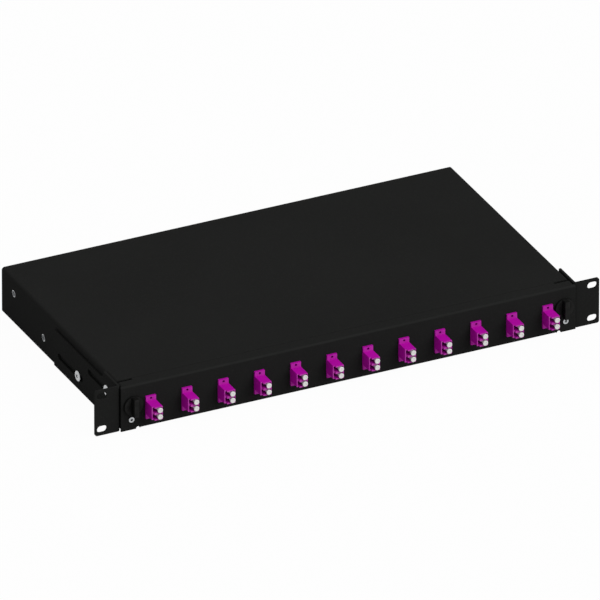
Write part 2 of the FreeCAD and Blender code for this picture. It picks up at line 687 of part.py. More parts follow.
def drawer_tray():
    """Floor, sides, front upstand and rear lip of the drawer, one folded sheet."""
    side = TRAY_OUTSIDE - TRAY_SHEET / 2
    floor = TRAY_UNDERSIDE + TRAY_SHEET / 2
    top = TRAY_UNDERSIDE + TRAY_SIDE_HEIGHT
    outer_bend = TRAY_BEND + TRAY_SHEET
    path = [(-side, top), (-side, floor), (side, floor), (side, top)]
    run = SLIDE_REAR - TRAY_SIDE_FRONT
    trough = folded(path, TRAY_SHEET, TRAY_BEND, across_at(TRAY_SIDE_FRONT), Vector(0, run, 0))

    half = TRAY_INSIDE - TRAY_CORNER_GAP
    corner_top = TRAY_UNDERSIDE + outer_bend
    rear_edge = block(-half, half, SLIDE_REAR - outer_bend, SLIDE_REAR, TRAY_UNDERSIDE, corner_top)
    trough = trough.cut(rear_edge)
    front = PANEL_REAR + TRAY_SHEET / 2
    rear = SLIDE_REAR - TRAY_SHEET / 2
    middle = (front + rear) / 2
    front_path = [(middle, floor), (front, floor), (front, TRAY_UNDERSIDE + TRAY_FRONT_UPSTAND)]
    rear_path = [(middle, floor), (rear, floor), (rear, TRAY_UNDERSIDE + TRAY_REAR_LIP)]
    ends = []
    for end_path in (front_path, rear_path):
        ends.append(folded(end_path, TRAY_SHEET, TRAY_BEND, along_at(-half), Vector(2 * half, 0, 0)))
    shell = joined([trough] + ends + both_sides([panel_tab()]))

    places = [(y, SLIDE_MIDDLE_Z) for y in slide_screw_places()]
    cuts = nut_holes(SLIDE_SCREW_RADIUS + THREAD_FIT, places, TRAY_INSIDE, TRAY_OUTSIDE)
    tab_hole = PANEL_SCREW_RADIUS + THREAD_FIT
    cuts.append(rod_y(tab_hole, PANEL_REAR, PANEL_REAR + TRAY_SHEET, PANEL_SCREW_X, PANEL_SCREW_Z))
    stud_hole = rod_z(STUD_RADIUS + THREAD_FIT, TRAY_UNDERSIDE, TRAY_FLOOR, 0, CASSETTE_Y)
    return shell.cut(both_sides(cuts) + [stud_hole])


def slide_screws():
    """Flat-head screws from the inner slide members into the tray sides."""
    head_end = TRAY_OUTSIDE + SLIDE_SHEET + SLIDE_SCREW_HEAD_HEIGHT
    screws = []
    for y in slide_screw_places():
        head = rod_x(SLIDE_SCREW_HEAD_RADIUS, TRAY_OUTSIDE + SLIDE_SHEET, head_end, y, SLIDE_MIDDLE_Z)
        tip = TRAY_INSIDE - SLIDE_NUT_HEIGHT
        shank = rod_x(SLIDE_SCREW_RADIUS, tip, TRAY_OUTSIDE + SLIDE_SHEET, y, SLIDE_MIDDLE_Z)
        screws.append(joined([head, shank]))
    return group(both_sides(screws))


def slide_nuts():
    """Nuts inside the tray on the slide screws."""
    inner_face = TRAY_INSIDE - SLIDE_NUT_HEIGHT
    hole_radius = SLIDE_SCREW_RADIUS + THREAD_FIT
    nuts = []
    for y in slide_screw_places():
        ring = rod_x(SLIDE_NUT_RADIUS, inner_face, TRAY_INSIDE, y, SLIDE_MIDDLE_Z)
        hole = rod_x(hole_radius, inner_face, TRAY_INSIDE, y, SLIDE_MIDDLE_Z)
        nuts.append(ring.cut(hole))
    return group(both_sides(nuts))


def adapter_places():
    """Width positions of the adapters, from left to right."""
    middle = (ADAPTER_COUNT - 1) / 2
    return [(index - middle) * ADAPTER_PITCH for index in range(ADAPTER_COUNT)]


def panel_return():
    """Tab folded down from the right end of the upper flange, close behind the plate's end."""
    top = HOUSING_TOP - PANEL_SHEET / 2
    wall = PANEL_FLANGE_HALF - PANEL_SHEET / 2
    path = [(HALF_LOWER_FLANGE, top), (wall, top), (wall, PANEL_BOTTOM + PANEL_RETURN_INSET)]
    run = PANEL_FLANGE_REAR - PANEL_END_NOTCH - PANEL_RETURN_FRONT
    return folded(path, PANEL_SHEET, PANEL_BEND, across_at(PANEL_RETURN_FRONT), Vector(0, run, 0))


def front_panel():
    """Drawer front: plate with the adapter cut-outs, upper and lower flanges and a return at each end."""
    plate = (PANEL_FRONT + PANEL_REAR) / 2
    top = HOUSING_TOP - PANEL_SHEET / 2
    bottom = PANEL_BOTTOM + PANEL_SHEET / 2
    outer_bend = PANEL_BEND + PANEL_SHEET
    middle_path = [(PANEL_FLANGE_REAR, top), (plate, top), (plate, bottom), (PANEL_FLANGE_REAR, bottom)]
    sweep = Vector(2 * HALF_LOWER_FLANGE, 0, 0)
    middle = folded(middle_path, PANEL_SHEET, PANEL_BEND, along_at(-HALF_LOWER_FLANGE), sweep)
    end_path = [(PANEL_FLANGE_REAR - PANEL_END_NOTCH, top), (plate, top), (plate, PANEL_BOTTOM)]
    sweep = Vector(HALF_PANEL - HALF_LOWER_FLANGE, 0, 0)
    end = folded(end_path, PANEL_SHEET, PANEL_BEND, along_at(HALF_LOWER_FLANGE), sweep)
    low = HOUSING_TOP - outer_bend
    corner = block(PANEL_FLANGE_HALF, HALF_PANEL, PANEL_REAR, PANEL_RETURN_FRONT, low, HOUSING_TOP)
    bend_start = PANEL_FLANGE_HALF - outer_bend
    flange_end = block(bend_start, HALF_PANEL, PANEL_RETURN_FRONT, PANEL_FLANGE_REAR, low, HOUSING_TOP)
    end = joined([end.cut([corner, flange_end]), panel_return()])
    notch_start = HALF_LOWER_FLANGE + PANEL_NOTCH_INSET
    notch_front = PANEL_FLANGE_REAR - PANEL_END_NOTCH
    under = HOUSING_TOP - PANEL_SHEET
    shoulder = block(HALF_LOWER_FLANGE, notch_start, notch_front, PANEL_FLANGE_REAR, under, HOUSING_TOP)
    sheet = joined([middle] + both_sides([end, shoulder]))

    relief_x = HALF_LOWER_FLANGE + PANEL_RELIEF_RADIUS
    relief = rod_y(PANEL_RELIEF_RADIUS, PANEL_FRONT, PANEL_REAR, relief_x, PANEL_BOTTOM)
    bush_hole = rod_y(BUSH_RADIUS + BUSH_FIT, PANEL_FRONT, PANEL_REAR, LATCH_X, LATCH_Z)
    screw_hole = rod_y(PANEL_SCREW_HOLE_RADIUS, PANEL_FRONT, PANEL_REAR, PANEL_SCREW_X, PANEL_SCREW_Z)
    cuts = both_sides([relief, bush_hole, screw_hole])
    half_width = ADAPTER_WIDTH / 2 + ADAPTER_CUTOUT_FIT
    half_height = ADAPTER_HEIGHT / 2 + ADAPTER_CUTOUT_FIT
    for x in adapter_places():
        low = ADAPTER_Z - half_height
        high = ADAPTER_Z + half_height
        cuts.append(block(x - half_width, x + half_width, PANEL_FRONT, PANEL_REAR, low, high))
    return sheet.cut(cuts)


def panel_screws():
    """Small socket screws at the ends of the front panel."""
    head_front = PANEL_FRONT - PANEL_SCREW_HEAD_HEIGHT
    edge = PANEL_SCREW_HEAD_HEIGHT / 3
    head = rod_y(PANEL_SCREW_HEAD_RADIUS, head_front, PANEL_FRONT, PANEL_SCREW_X, PANEL_SCREW_Z)
    rim = [line for line in head.Edges if line.BoundBox.YMax < head_front + edge]
    head = head.makeFillet(edge, rim)
    tip = PANEL_FRONT + PANEL_SCREW_LENGTH
    shank = rod_y(PANEL_SCREW_RADIUS, PANEL_FRONT, tip, PANEL_SCREW_X, PANEL_SCREW_Z)
    floor = head_front + PANEL_SCREW_SOCKET_DEPTH
    socket = rod_y(PANEL_SCREW_SOCKET_RADIUS, head_front, floor, PANEL_SCREW_X, PANEL_SCREW_Z)
    return group(both_sides([joined([head, shank]).cut(socket)]))


def panel_nuts():
    """Press nuts behind the tray tabs, on the panel screws."""
    seat = PANEL_REAR + TRAY_SHEET
    ring = rod_y(PANEL_NUT_RADIUS, seat, seat + PANEL_NUT_HEIGHT, PANEL_SCREW_X, PANEL_SCREW_Z)
    hole_radius = PANEL_SCREW_RADIUS + THREAD_FIT
    hole = rod_y(hole_radius, seat, seat + PANEL_NUT_HEIGHT, PANEL_SCREW_X, PANEL_SCREW_Z)
    return group(both_sides([ring.cut(hole)]))


# Adapters

def port_places():
    """Heights of the two ports of an adapter."""
    return (ADAPTER_Z - PORT_PITCH / 2, ADAPTER_Z + PORT_PITCH / 2)


def adapter(x):
    """Moulded duplex adapter: body, mounting flange and two ports at each end, stepped on the latch side."""
    half = ADAPTER_WIDTH / 2
    low = ADAPTER_Z - ADAPTER_HEIGHT / 2
    body = block(x - half, x + half, ADAPTER_TIP, ADAPTER_TAIL, low, low + ADAPTER_HEIGHT)
    long_edges = [line for line in body.Edges if line.BoundBox.YLength > ADAPTER_HEIGHT]
    body = body.makeFillet(ADAPTER_EDGE, long_edges)
    flange_half = ADAPTER_FLANGE_WIDTH / 2
    flange_low = ADAPTER_Z - ADAPTER_FLANGE_HEIGHT / 2
    flange_front = PANEL_FRONT - ADAPTER_FLANGE_THICKNESS
    flange_high = flange_low + ADAPTER_FLANGE_HEIGHT
    flange = block(x - flange_half, x + flange_half, flange_front, PANEL_FRONT, flange_low, flange_high)
    solid = joined([body, flange])

    cuts = []
    for side in (-1, 1):
        z = ADAPTER_Z + side * ADAPTER_FLANGE_HOLE_SPACING / 2
        cuts.append(rod_y(ADAPTER_FLANGE_HOLE_RADIUS, flange_front, PANEL_FRONT, x, z))
    step_x = x - half + ADAPTER_STEP_WIDTH
    mouths = (ADAPTER_TIP + ADAPTER_STEP_DEPTH, ADAPTER_TAIL - ADAPTER_STEP_DEPTH)
    cuts.append(block(x - half, step_x, ADAPTER_TIP, mouths[0], low, low + ADAPTER_HEIGHT))
    cuts.append(block(x - half, step_x, mouths[1], ADAPTER_TAIL, low, low + ADAPTER_HEIGHT))
    axis = x + PORT_OFFSET
    port_half = PORT_SIZE / 2
    slot_half = LATCH_SLOT_HEIGHT / 2
    slot_end = axis - port_half - LATCH_SLOT_REACH
    runs = ((ADAPTER_TIP, ADAPTER_TIP + PORT_DEPTH), (ADAPTER_TAIL - PORT_DEPTH, ADAPTER_TAIL))
    for z in port_places():
        for start, end in runs:
            cuts.append(block(axis - port_half, axis + port_half, start, end, z - port_half, z + port_half))
            cuts.append(block(slot_end, axis, start, end, z - slot_half, z + slot_half))
        cuts.append(rod_y(SLEEVE_RADIUS + SLEEVE_FIT, ADAPTER_TIP, ADAPTER_TAIL, axis, z))
    return solid.cut(cuts)


def port_axes():
    """Width and height of the axis of every port."""
    return [(x + PORT_OFFSET, z) for x in adapter_places() for z in port_places()]


def alignment_sleeves():
    """Ceramic sleeves that line up the ferrules, one for each port pair."""
    start = ADAPTER_TIP + PORT_DEPTH - SLEEVE_STANDOUT
    end = ADAPTER_TAIL - PORT_DEPTH + SLEEVE_STANDOUT
    sleeves = []
    for x, z in port_axes():
        tube = rod_y(SLEEVE_RADIUS, start, end, x, z)
        sleeves.append(tube.cut(rod_y(SLEEVE_BORE_RADIUS, start, end, x, z)))
    return group(sleeves)


def dust_cap(x, z, tip, seat):
    """Dust cap: a round head before a port's mouth, and a stem over the sleeve down to its seat."""
    inward = 1 if seat > tip else -1
    neck = tip + inward * CAP_HEAD
    head = rod_y(CAP_RADIUS, tip, neck, x, z)
    rim = [line for line in head.Edges if abs(line.BoundBox.Center.y - tip) < CAP_EDGE]
    head = head.makeFillet(CAP_EDGE, rim)
    cap = joined([head, rod_y(CAP_STEM_RADIUS, neck, seat, x, z)])
    return cap.cut(rod_y(CAP_BORE_RADIUS, seat - inward * CAP_BORE_DEPTH, seat, x, z))


def dust_caps(tip, seat):
    """Dust caps for every port at one end of the adapters."""
    return group(dust_cap(x, z, tip, seat) for x, z in port_axes())


def front_dust_caps():
    """White caps in the front ports."""
    return dust_caps(ADAPTER_TIP - CAP_STANDOUT, ADAPTER_TIP + PORT_DEPTH)


def rear_dust_caps():
    """White caps in the rear ports."""
    return dust_caps(ADAPTER_TAIL + CAP_STANDOUT, ADAPTER_TAIL - PORT_DEPTH)


def adapter_clips():
    """Spring clips that hold the adapters from behind the panel, over the body's top and sides."""
    inside = ADAPTER_WIDTH / 2 + CLIP_FIT
    wall = inside + CLIP_SHEET / 2
    top = ADAPTER_Z + ADAPTER_HEIGHT / 2 + CLIP_FIT + CLIP_SHEET / 2
    foot = top - CLIP_LEG
    clips = []
    for x in adapter_places():
        path = [(x - wall, foot), (x - wall, top), (x + wall, top), (x + wall, foot)]
        clips.append(folded(path, CLIP_SHEET, CLIP_FIT, across_at(PANEL_REAR), Vector(0, CLIP_LENGTH, 0)))
    return group(clips)


# Latches

def latch_bush():
    """Right-hand bush in the panel that the knob's shaft turns in."""
    nose = rod_y(BUSH_RADIUS, PANEL_FRONT, PANEL_REAR, LATCH_X, LATCH_Z)
    collar = rod_y(BUSH_FLANGE_RADIUS, PANEL_REAR, PANEL_REAR + BUSH_FLANGE, LATCH_X, LATCH_Z)
    end = PANEL_REAR + BUSH_FLANGE + BUSH_TAIL
    tail = rod_y(BUSH_RADIUS, PANEL_REAR + BUSH_FLANGE, end, LATCH_X, LATCH_Z)
    bore = rod_y(LATCH_SHAFT_RADIUS + LATCH_SHAFT_FIT, PANEL_FRONT, end, LATCH_X, LATCH_Z)
    return joined([nose, collar, tail]).cut(bore)


def latch_bushes():
    """Both latch bushes."""
    return group(both_sides([latch_bush()]))


def knob():
    """Right-hand knob: disc, grip fin and shaft in one moulding."""
    disc_rear = PANEL_FRONT - KNOB_PANEL_GAP
    disc_front = disc_rear - KNOB_DISC
    fin_front = PANEL_FRONT - KNOB_PROUD
    disc = rod_y(KNOB_RADIUS, disc_front, disc_rear, LATCH_X, LATCH_Z)
    rim = [line for line in disc.Edges if line.BoundBox.YMax < disc_front + KNOB_EDGE]
    disc = disc.makeFillet(KNOB_EDGE, rim)
    half = KNOB_FIN_WIDTH / 2
    reach = KNOB_FIN_LENGTH / 2
    fin = block(LATCH_X - half, LATCH_X + half, fin_front, disc_rear, LATCH_Z - reach, LATCH_Z + reach)
    outer = [line for line in fin.Edges if line.BoundBox.YMax < fin_front + KNOB_EDGE]
    fin = fin.makeFillet(KNOB_EDGE, outer)
    shaft = rod_y(LATCH_SHAFT_RADIUS, disc_rear, PAWL_FRONT, LATCH_X, LATCH_Z)
    hole_start = PAWL_REAR - PAWL_SCREW_LENGTH
    hole = rod_y(PAWL_SCREW_RADIUS + THREAD_FIT, hole_start, PAWL_FRONT, LATCH_X, LATCH_Z)
    return joined([disc, fin, shaft]).cut(hole)


def latch_pawl():
    """Right-hand pawl on the knob's shaft, hanging in the open position."""
    hub = Vector(LATCH_X, PAWL_FRONT, LATCH_Z)
    tip = Vector(LATCH_X, PAWL_FRONT, LATCH_Z - PAWL_REACH + LATCH_SHAFT_RADIUS)
    arm = slot_cutter(hub, tip, LATCH_SHAFT_RADIUS, Vector(0, PAWL_SHEET, 0))
    return arm.cut(rod_y(PAWL_SCREW_RADIUS + THREAD_FIT, PAWL_FRONT, PAWL_REAR, LATCH_X, LATCH_Z))


def pawl_screw():
    """Right-hand screw that holds the pawl on the shaft."""
    head = rod_y(PAWL_SCREW_HEAD_RADIUS, PAWL_REAR, PAWL_REAR + PAWL_SCREW_HEAD_HEIGHT, LATCH_X, LATCH_Z)
    shank = rod_y(PAWL_SCREW_RADIUS, PAWL_REAR - PAWL_SCREW_LENGTH, PAWL_REAR, LATCH_X, LATCH_Z)
    return joined([head, shank])


# Splice cassette and fibre guides

def rounded_slab(width, depth, z0, z1, corner):
    """Slab with round upright corners, centred on the cassette's place."""
    slab = block(-width / 2, width / 2, CASSETTE_Y - depth / 2, CASSETTE_Y + depth / 2, z0, z1)
    upright = [line for line in slab.Edges if line.BoundBox.ZLength > (z1 - z0) / 2]
    return slab.makeFillet(corner, upright)


def splice_cassette():
    """Open cassette with winding drums, a comb of splice holders and a boss for the stud."""
    shell = rounded_slab(CASSETTE_WIDTH, CASSETTE_DEPTH, TRAY_FLOOR, CASSETTE_TOP, CASSETTE_CORNER)
    inner_width = CASSETTE_WIDTH - 2 * CASSETTE_WALL
    inner_depth = CASSETTE_DEPTH - 2 * CASSETTE_WALL
    floor = TRAY_FLOOR + CASSETTE_WALL
    hollow = rounded_slab(inner_width, inner_depth, floor, CASSETTE_TOP, CASSETTE_CORNER - CASSETTE_WALL)
    gates = []
    gate_x = CASSETTE_WIDTH / 2 - CASSETTE_CORNER - CASSETTE_GATE_WIDTH
    for side in (-1, 1):
        front = CASSETTE_Y - CASSETTE_DEPTH / 2
        x0 = side * gate_x - CASSETTE_GATE_WIDTH / 2
        gates.append(block(x0, x0 + CASSETTE_GATE_WIDTH, front, front + CASSETTE_WALL, floor, CASSETTE_TOP))
    parts = [shell.cut([hollow] + gates)]
    parts.append(rod_z(CASSETTE_BOSS_RADIUS, TRAY_FLOOR, CASSETTE_TOP, 0, CASSETTE_Y))
    for side in (-1, 1):
        x = side * CASSETTE_DRUM_OFFSET
        drum = rod_z(CASSETTE_DRUM_RADIUS, TRAY_FLOOR, CASSETTE_TOP, x, CASSETTE_Y)
        core = rod_z(CASSETTE_DRUM_RADIUS - CASSETTE_WALL, floor, CASSETTE_TOP, x, CASSETTE_Y)
        parts.append(drum.cut(core))
    comb_end = CASSETTE_Y + CASSETTE_DEPTH / 2 - CASSETTE_WALL
    comb_half = COMB_LENGTH / 2
    for index in range(COMB_RIBS):
        y = comb_end - (index + 1) * COMB_RIB_PITCH
        rib_end = y + COMB_RIB_THICKNESS
        parts.append(block(-comb_half, comb_half, y, rib_end, TRAY_FLOOR, floor + COMB_HEIGHT))
    stud_hole = rod_z(STUD_RADIUS + STUD_FIT, TRAY_FLOOR, CASSETTE_TOP, 0, CASSETTE_Y)
    return joined(parts).cut(stud_hole)


def cassette_lid():
    """Clear lid on the cassette."""
    top = CASSETTE_TOP + CASSETTE_LID
    lid = rounded_slab(CASSETTE_WIDTH, CASSETTE_DEPTH, CASSETTE_TOP, top, CASSETTE_CORNER)
    return lid.cut(rod_z(STUD_RADIUS + STUD_FIT, CASSETTE_TOP, top, 0, CASSETTE_Y))


def cassette_stud():
    """Stud pressed into the tray floor, through the cassette."""
    top = CASSETTE_TOP + CASSETTE_LID + STUD_ABOVE_LID
    return rod_z(STUD_RADIUS, TRAY_UNDERSIDE, top, 0, CASSETTE_Y)


def thumb_nut():
    """Knurled nut on the stud, down on the lid."""
    seat = CASSETTE_TOP + CASSETTE_LID
    ring = rod_z(THUMB_NUT_RADIUS, seat, seat + THUMB_NUT_HEIGHT, 0, CASSETTE_Y)
    return ring.cut(rod_z(STUD_RADIUS + THREAD_FIT, seat, seat + THUMB_NUT_HEIGHT, 0, CASSETTE_Y))


def fibre_guide(x, y):
    """Open ring on a base pad, stuck to the tray floor."""
    centre_z = TRAY_FLOOR + GUIDE_OUTER_RADIUS
    front = y - GUIDE_WIDTH / 2
    rear = y + GUIDE_WIDTH / 2
    ring = rod_y(GUIDE_OUTER_RADIUS, front, rear, x, centre_z)
    bore = rod_y(GUIDE_OUTER_RADIUS - GUIDE_WALL, front, rear, x, centre_z)
    pad = block(x - GUIDE_BASE / 2, x + GUIDE_BASE / 2, front, rear, TRAY_FLOOR, TRAY_FLOOR + GUIDE_WALL)
    half = GUIDE_MOUTH / 2
    mouth = block(x - half, x + half, front, rear, centre_z, centre_z + GUIDE_OUTER_RADIUS)
    return joined([ring.cut([bore, mouth]), pad.cut(bore)])


def fibre_guides():
    """Fibre guides at the tray's corners."""
    x = TRAY_INSIDE - GUIDE_SIDE_ROOM
    front = ADAPTER_TAIL + GUIDE_END_ROOM
    rear = SLIDE_REAR - GUIDE_END_ROOM
    return group(both_sides([fibre_guide(x, front), fibre_guide(x, rear)]))


# Every node of the model, by name

def model():
    """Name and shape of each node."""
    nodes = {
        "housing_cover": housing_cover(),
        "housing_base": housing_base(),
        "housing_rear": housing_rear(),
        "press_nuts": press_nuts(),
        "ear_screws": ear_screws(),
        "cable_grommets": cable_grommets(),
        "blanking_plugs": blanking_plugs(),
        "drawer_tray": drawer_tray(),
        "front_panel": front_panel(),
        "panel_screws": panel_screws(),
        "panel_nuts": panel_nuts(),
        "slide_screws": slide_screws(),
        "slide_nuts": slide_nuts(),
        "adapter_clips": adapter_clips(),
        "alignment_sleeves": alignment_sleeves(),
        "front_dust_caps": front_dust_caps(),
        "rear_dust_caps": rear_dust_caps(),
        "latch_bushes": latch_bushes(),
        "splice_cassette": splice_cassette(),
        "cassette_lid": cassette_lid(),
        "cassette_stud": cassette_stud(),
        "thumb_nut": thumb_nut(),
        "fibre_guides": fibre_guides(),
    }
    paired = {
        "rack_ear": rack_ear(),
        "slide_outer": slide_outer(),
        "slide_inner": slide_inner(),
        "ball_cage": ball_cage(),
        "cage_balls": cage_balls(),
        "knob": knob(),
        "latch_pawl": latch_pawl(),
        "pawl_screw": pawl_screw(),
    }
    for name, shape in paired.items():
        nodes[name + "_right"] = shape
        nodes[name + "_left"] = mirrored(shape)
    for index, x in enumerate(adapter_places()):
        nodes["adapter_%02d" % (index + 1)] = adapter(x)
    return nodes


os.makedirs("parts", exist_ok=True)
for node, shape in model().items():
    shape.exportStep("parts/" + node + ".step")
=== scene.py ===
"""Looks of the sliding fibre patch panel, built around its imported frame.

Lengths are metres in the frame's own axes: X to the right seen from the front, Y to the back, Z up.
"""
import functools
import json
import logging
import math
from dataclasses import dataclass
from enum import Enum
from typing import Callable, Optional, Sequence

import bmesh
import bpy
from mathutils import Matrix, Quaternion, Vector


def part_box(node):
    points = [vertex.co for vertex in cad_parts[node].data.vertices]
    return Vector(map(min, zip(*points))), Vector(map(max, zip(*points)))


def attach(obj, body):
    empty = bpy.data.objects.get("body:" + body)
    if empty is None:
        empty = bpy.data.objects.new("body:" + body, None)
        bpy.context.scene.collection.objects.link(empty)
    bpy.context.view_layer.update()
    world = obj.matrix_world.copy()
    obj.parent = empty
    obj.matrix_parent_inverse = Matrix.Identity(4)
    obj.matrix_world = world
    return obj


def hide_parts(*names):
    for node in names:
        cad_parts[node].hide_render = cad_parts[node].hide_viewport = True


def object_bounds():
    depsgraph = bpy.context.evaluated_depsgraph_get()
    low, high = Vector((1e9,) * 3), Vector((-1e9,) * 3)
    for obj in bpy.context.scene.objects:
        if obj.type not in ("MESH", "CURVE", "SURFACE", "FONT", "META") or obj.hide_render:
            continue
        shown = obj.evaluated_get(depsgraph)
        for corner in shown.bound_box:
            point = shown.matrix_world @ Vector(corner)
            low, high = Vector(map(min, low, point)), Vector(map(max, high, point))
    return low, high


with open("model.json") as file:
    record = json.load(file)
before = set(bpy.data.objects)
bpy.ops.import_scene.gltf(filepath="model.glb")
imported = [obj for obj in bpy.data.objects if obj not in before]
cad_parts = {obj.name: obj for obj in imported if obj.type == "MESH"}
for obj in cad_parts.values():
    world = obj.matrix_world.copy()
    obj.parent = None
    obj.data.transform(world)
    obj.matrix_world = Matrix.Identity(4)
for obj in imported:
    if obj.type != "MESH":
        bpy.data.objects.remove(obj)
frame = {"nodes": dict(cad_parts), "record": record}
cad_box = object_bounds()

Colour = tuple[float, float, float]
Point = tuple[float, float, float]
Profile = list[tuple[float, float]]
Shape = bmesh.types.BMesh
Tree = bpy.types.NodeTree
Wire = bpy.types.NodeSocket

MM = 0.001
QUARTER = math.pi / 2
SIDES = (-1.0, 1.0)
IMAGE_PIXELS = 600
SMOOTH_ANGLE = math.radians(32)
NOISE_LOW = 0.3
NOISE_HIGH = 0.7
WHITE_LIGHT = (1.0, 1.0, 1.0, 1.0)
# Among the colour sockets, Colour is a finish's own colour; the other three carry painted shade in recesses
# and painted highlights on end faces and bends.
SOCKET_KINDS = {
    **dict.fromkeys(("Colour", "Grime", "Rubbed", "Worn"), "NodeSocketColor"),
    **dict.fromkeys(("Columns", "Ribs", "Rows", "Seed"), "NodeSocketInt"),
    **dict.fromkeys(("Drive", "Fin", "Head"), "NodeSocketObject"),
    **dict.fromkeys(("Facing", "First", "Vector"), "NodeSocketVector"),
    "Finish": "NodeSocketMaterial",
    "Geometry": "NodeSocketGeometry",
}

log = logging.getLogger("patch_panel")


class Slot(Enum):
    """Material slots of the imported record."""

    COAT = "black_powder_coat"
    ZINC = "zinc_steel"
    SLIDE = "slide_steel"
    BALL = "ball_steel"
    SPRING = "spring_steel"
    VIOLET = "violet_plastic"
    WHITE = "white_plastic"
    CERAMIC = "ceramic"
    BLACK = "black_plastic"
    RUBBER = "rubber"
    GREY = "grey_plastic"
    CLEAR = "clear_plastic"


class Body(Enum):
    """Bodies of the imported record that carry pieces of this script."""

    HOUSING = "housing"
    DRAWER = "drawer"
    KNOB_LEFT = "knob_left"
    KNOB_RIGHT = "knob_right"


def opaque(colour: Colour) -> tuple[float, float, float, float]:
    """Returns a colour with full alpha."""
    return (*colour, 1.0)


class NodeSheet:
    """Adds nodes to one node tree and links them."""

    def __init__(self, tree: Tree) -> None:
        """Keeps the tree that the nodes go into."""
        self.tree = tree

    def add(self, kind: str, inputs: Optional[dict] = None, **settings: object) -> bpy.types.Node:
        """Adds a node with its settings and inputs.

        Args:
            kind: The node's type name.
            inputs: Values, or sockets to link from, by the name or index of the input.
            settings: Properties of the node by name.

        Returns:
            The new node.
        """
        node = self.tree.nodes.new(kind)
        for name, value in settings.items():
            setattr(node, name, value)
        for key, value in (inputs or {}).items():
            self.feed(node.inputs[key], value)
        return node

    def feed(self, socket: Wire, value: object) -> None:
        """Links a socket from another one, or sets it to a plain value.

        Args:
            socket: The input socket.
            value: The socket to link from, or the value to set.
        """
        if isinstance(value, Wire):
            self.tree.links.new(value, socket)
        else:
            socket.default_value = value

    def declare(self, way: str, *labels: str) -> None:
        """Gives the tree sockets of its own, which hold plain numbers unless SOCKET_KINDS names them.

        Args:
            way: INPUT or OUTPUT.
            labels: The sockets' names.
        """
        for label in labels:
            kind = SOCKET_KINDS.get(label, "NodeSocketFloat")
            self.tree.interface.new_socket(label, in_out=way, socket_type=kind)

    def maths(self, operation: str, *terms: object, **settings: object) -> Wire:
        """Returns the result of a maths node on the terms."""
        return self.add("ShaderNodeMath", dict(enumerate(terms)), operation=operation, **settings).outputs[0]

    def vector(self, **parts: object) -> Wire:
        """Returns a vector of the parts X, Y and Z, each 0 unless it is given."""
        return self.add("ShaderNodeCombineXYZ", parts).outputs[0]

    def parts(self, vector: Wire) -> bpy.types.bpy_prop_collection:
        """Returns the parts X, Y and Z of a vector."""
        return self.add("ShaderNodeSeparateXYZ", {0: vector}).outputs

    def blend(self, share: object, first: object, second: object) -> Wire:
        """Returns the mix of two colours, by the share of the second."""
        return self.add("ShaderNodeMix", {"Factor": share, 6: first, 7: second}, data_type="RGBA").outputs[2]

    def blend_shaders(self, share: Wire, first: bpy.types.Node, second: bpy.types.Node) -> Wire:
        """Returns the mix of two shader nodes, by the share of the second."""
        inputs = {0: share, 1: first.outputs[0], 2: second.outputs[0]}
        return self.add("ShaderNodeMixShader", inputs).outputs[0]


class EffectSheet(NodeSheet):
    """A shader node group with one output, whose first inputs are the pattern's coordinates and scale."""

    def __init__(self, name: str, output: str, *inputs: str) -> None:
        """Makes the group and its sockets.

        Args:
            name: The group's name.
            output: The output's name.
            inputs: The inputs' names, after Vector and Scale.
        """
        super().__init__(bpy.data.node_groups.new(name, "ShaderNodeTree"))
        self.declare("INPUT", "Vector", "Scale", *inputs)
        self.declare("OUTPUT", output)
        self.given = self.add("NodeGroupInput").outputs

    def cloud(self, detail: float, place: Optional[Wire] = None) -> Wire:
        """Adds cloudy noise at the pattern's scale.

        Args:
            detail: How many finer layers it has.
            place: Coordinates to use instead of the pattern's own.

        Returns:
            The noise.
        """
        vector = self.given["Vector"] if place is None else place
        inputs = {"Vector": vector, "Scale": self.given["Scale"], "Detail": detail}
        return self.add("ShaderNodeTexNoise", inputs).outputs[0]

    def cells(self, feature: str) -> bpy.types.Node:
        """Returns the node of a cell pattern on the pattern's coordinates."""
        inputs = {"Vector": self.given["Vector"], "Scale": self.given["Scale"]}
        return self.add("ShaderNodeTexVoronoi", inputs, feature=feature)

    def remap(self, value: Wire, low: object, high: object, start: object = 0.0, end: object = 1.0) -> Wire:
        """Returns a value with its range from low to high turned into the one from start to end."""
        inputs = {"Value": value, "From Min": low, "From Max": high, "To Min": start, "To Max": end}
        return self.add("ShaderNodeMapRange", inputs).outputs[0]

    def patches(self, detail: float, least: float) -> Wire:
        """Returns a cloud that is spread between a least value and 1."""
        return self.remap(self.cloud(detail), NOISE_LOW, NOISE_HIGH, least)

    def close(self, value: Wire) -> Tree:
        """Puts a value out of the group and returns the group."""
        self.add("NodeGroupOutput", {0: value})
        return self.tree


@functools.cache
def tone_drift() -> Tree:
    """Makes the group that lets a colour drift a little lighter and darker over a surface.

    Returns:
        The group.
    """
    sheet = EffectSheet("tone_drift", "Colour", "Colour", "Amount")
    darker = sheet.maths("SUBTRACT", 1.0, sheet.given["Amount"])
    lighter = sheet.maths("ADD", 1.0, sheet.given["Amount"])
    level = sheet.remap(sheet.cloud(detail=3.0), NOISE_LOW, NOISE_HIGH, darker, lighter)
    shifted = sheet.add("ShaderNodeHueSaturation", {"Color": sheet.given["Colour"], "Value": level})
    return sheet.close(shifted.outputs[0])


@functools.cache
def handled_gloss() -> Tree:
    """Makes the group that varies a roughness about its middle, as handling and settling do.

    Returns:
        The group.
    """
    sheet = EffectSheet("handled_gloss", "Roughness", "Roughness", "Spread")
    swing = sheet.maths("MULTIPLY", sheet.maths("SUBTRACT", sheet.cloud(detail=4.0), 0.5), 2.0)
    level = sheet.maths(
        "MULTIPLY_ADD", swing, sheet.given["Spread"], sheet.given["Roughness"], use_clamp=True
    )
    return sheet.close(level)


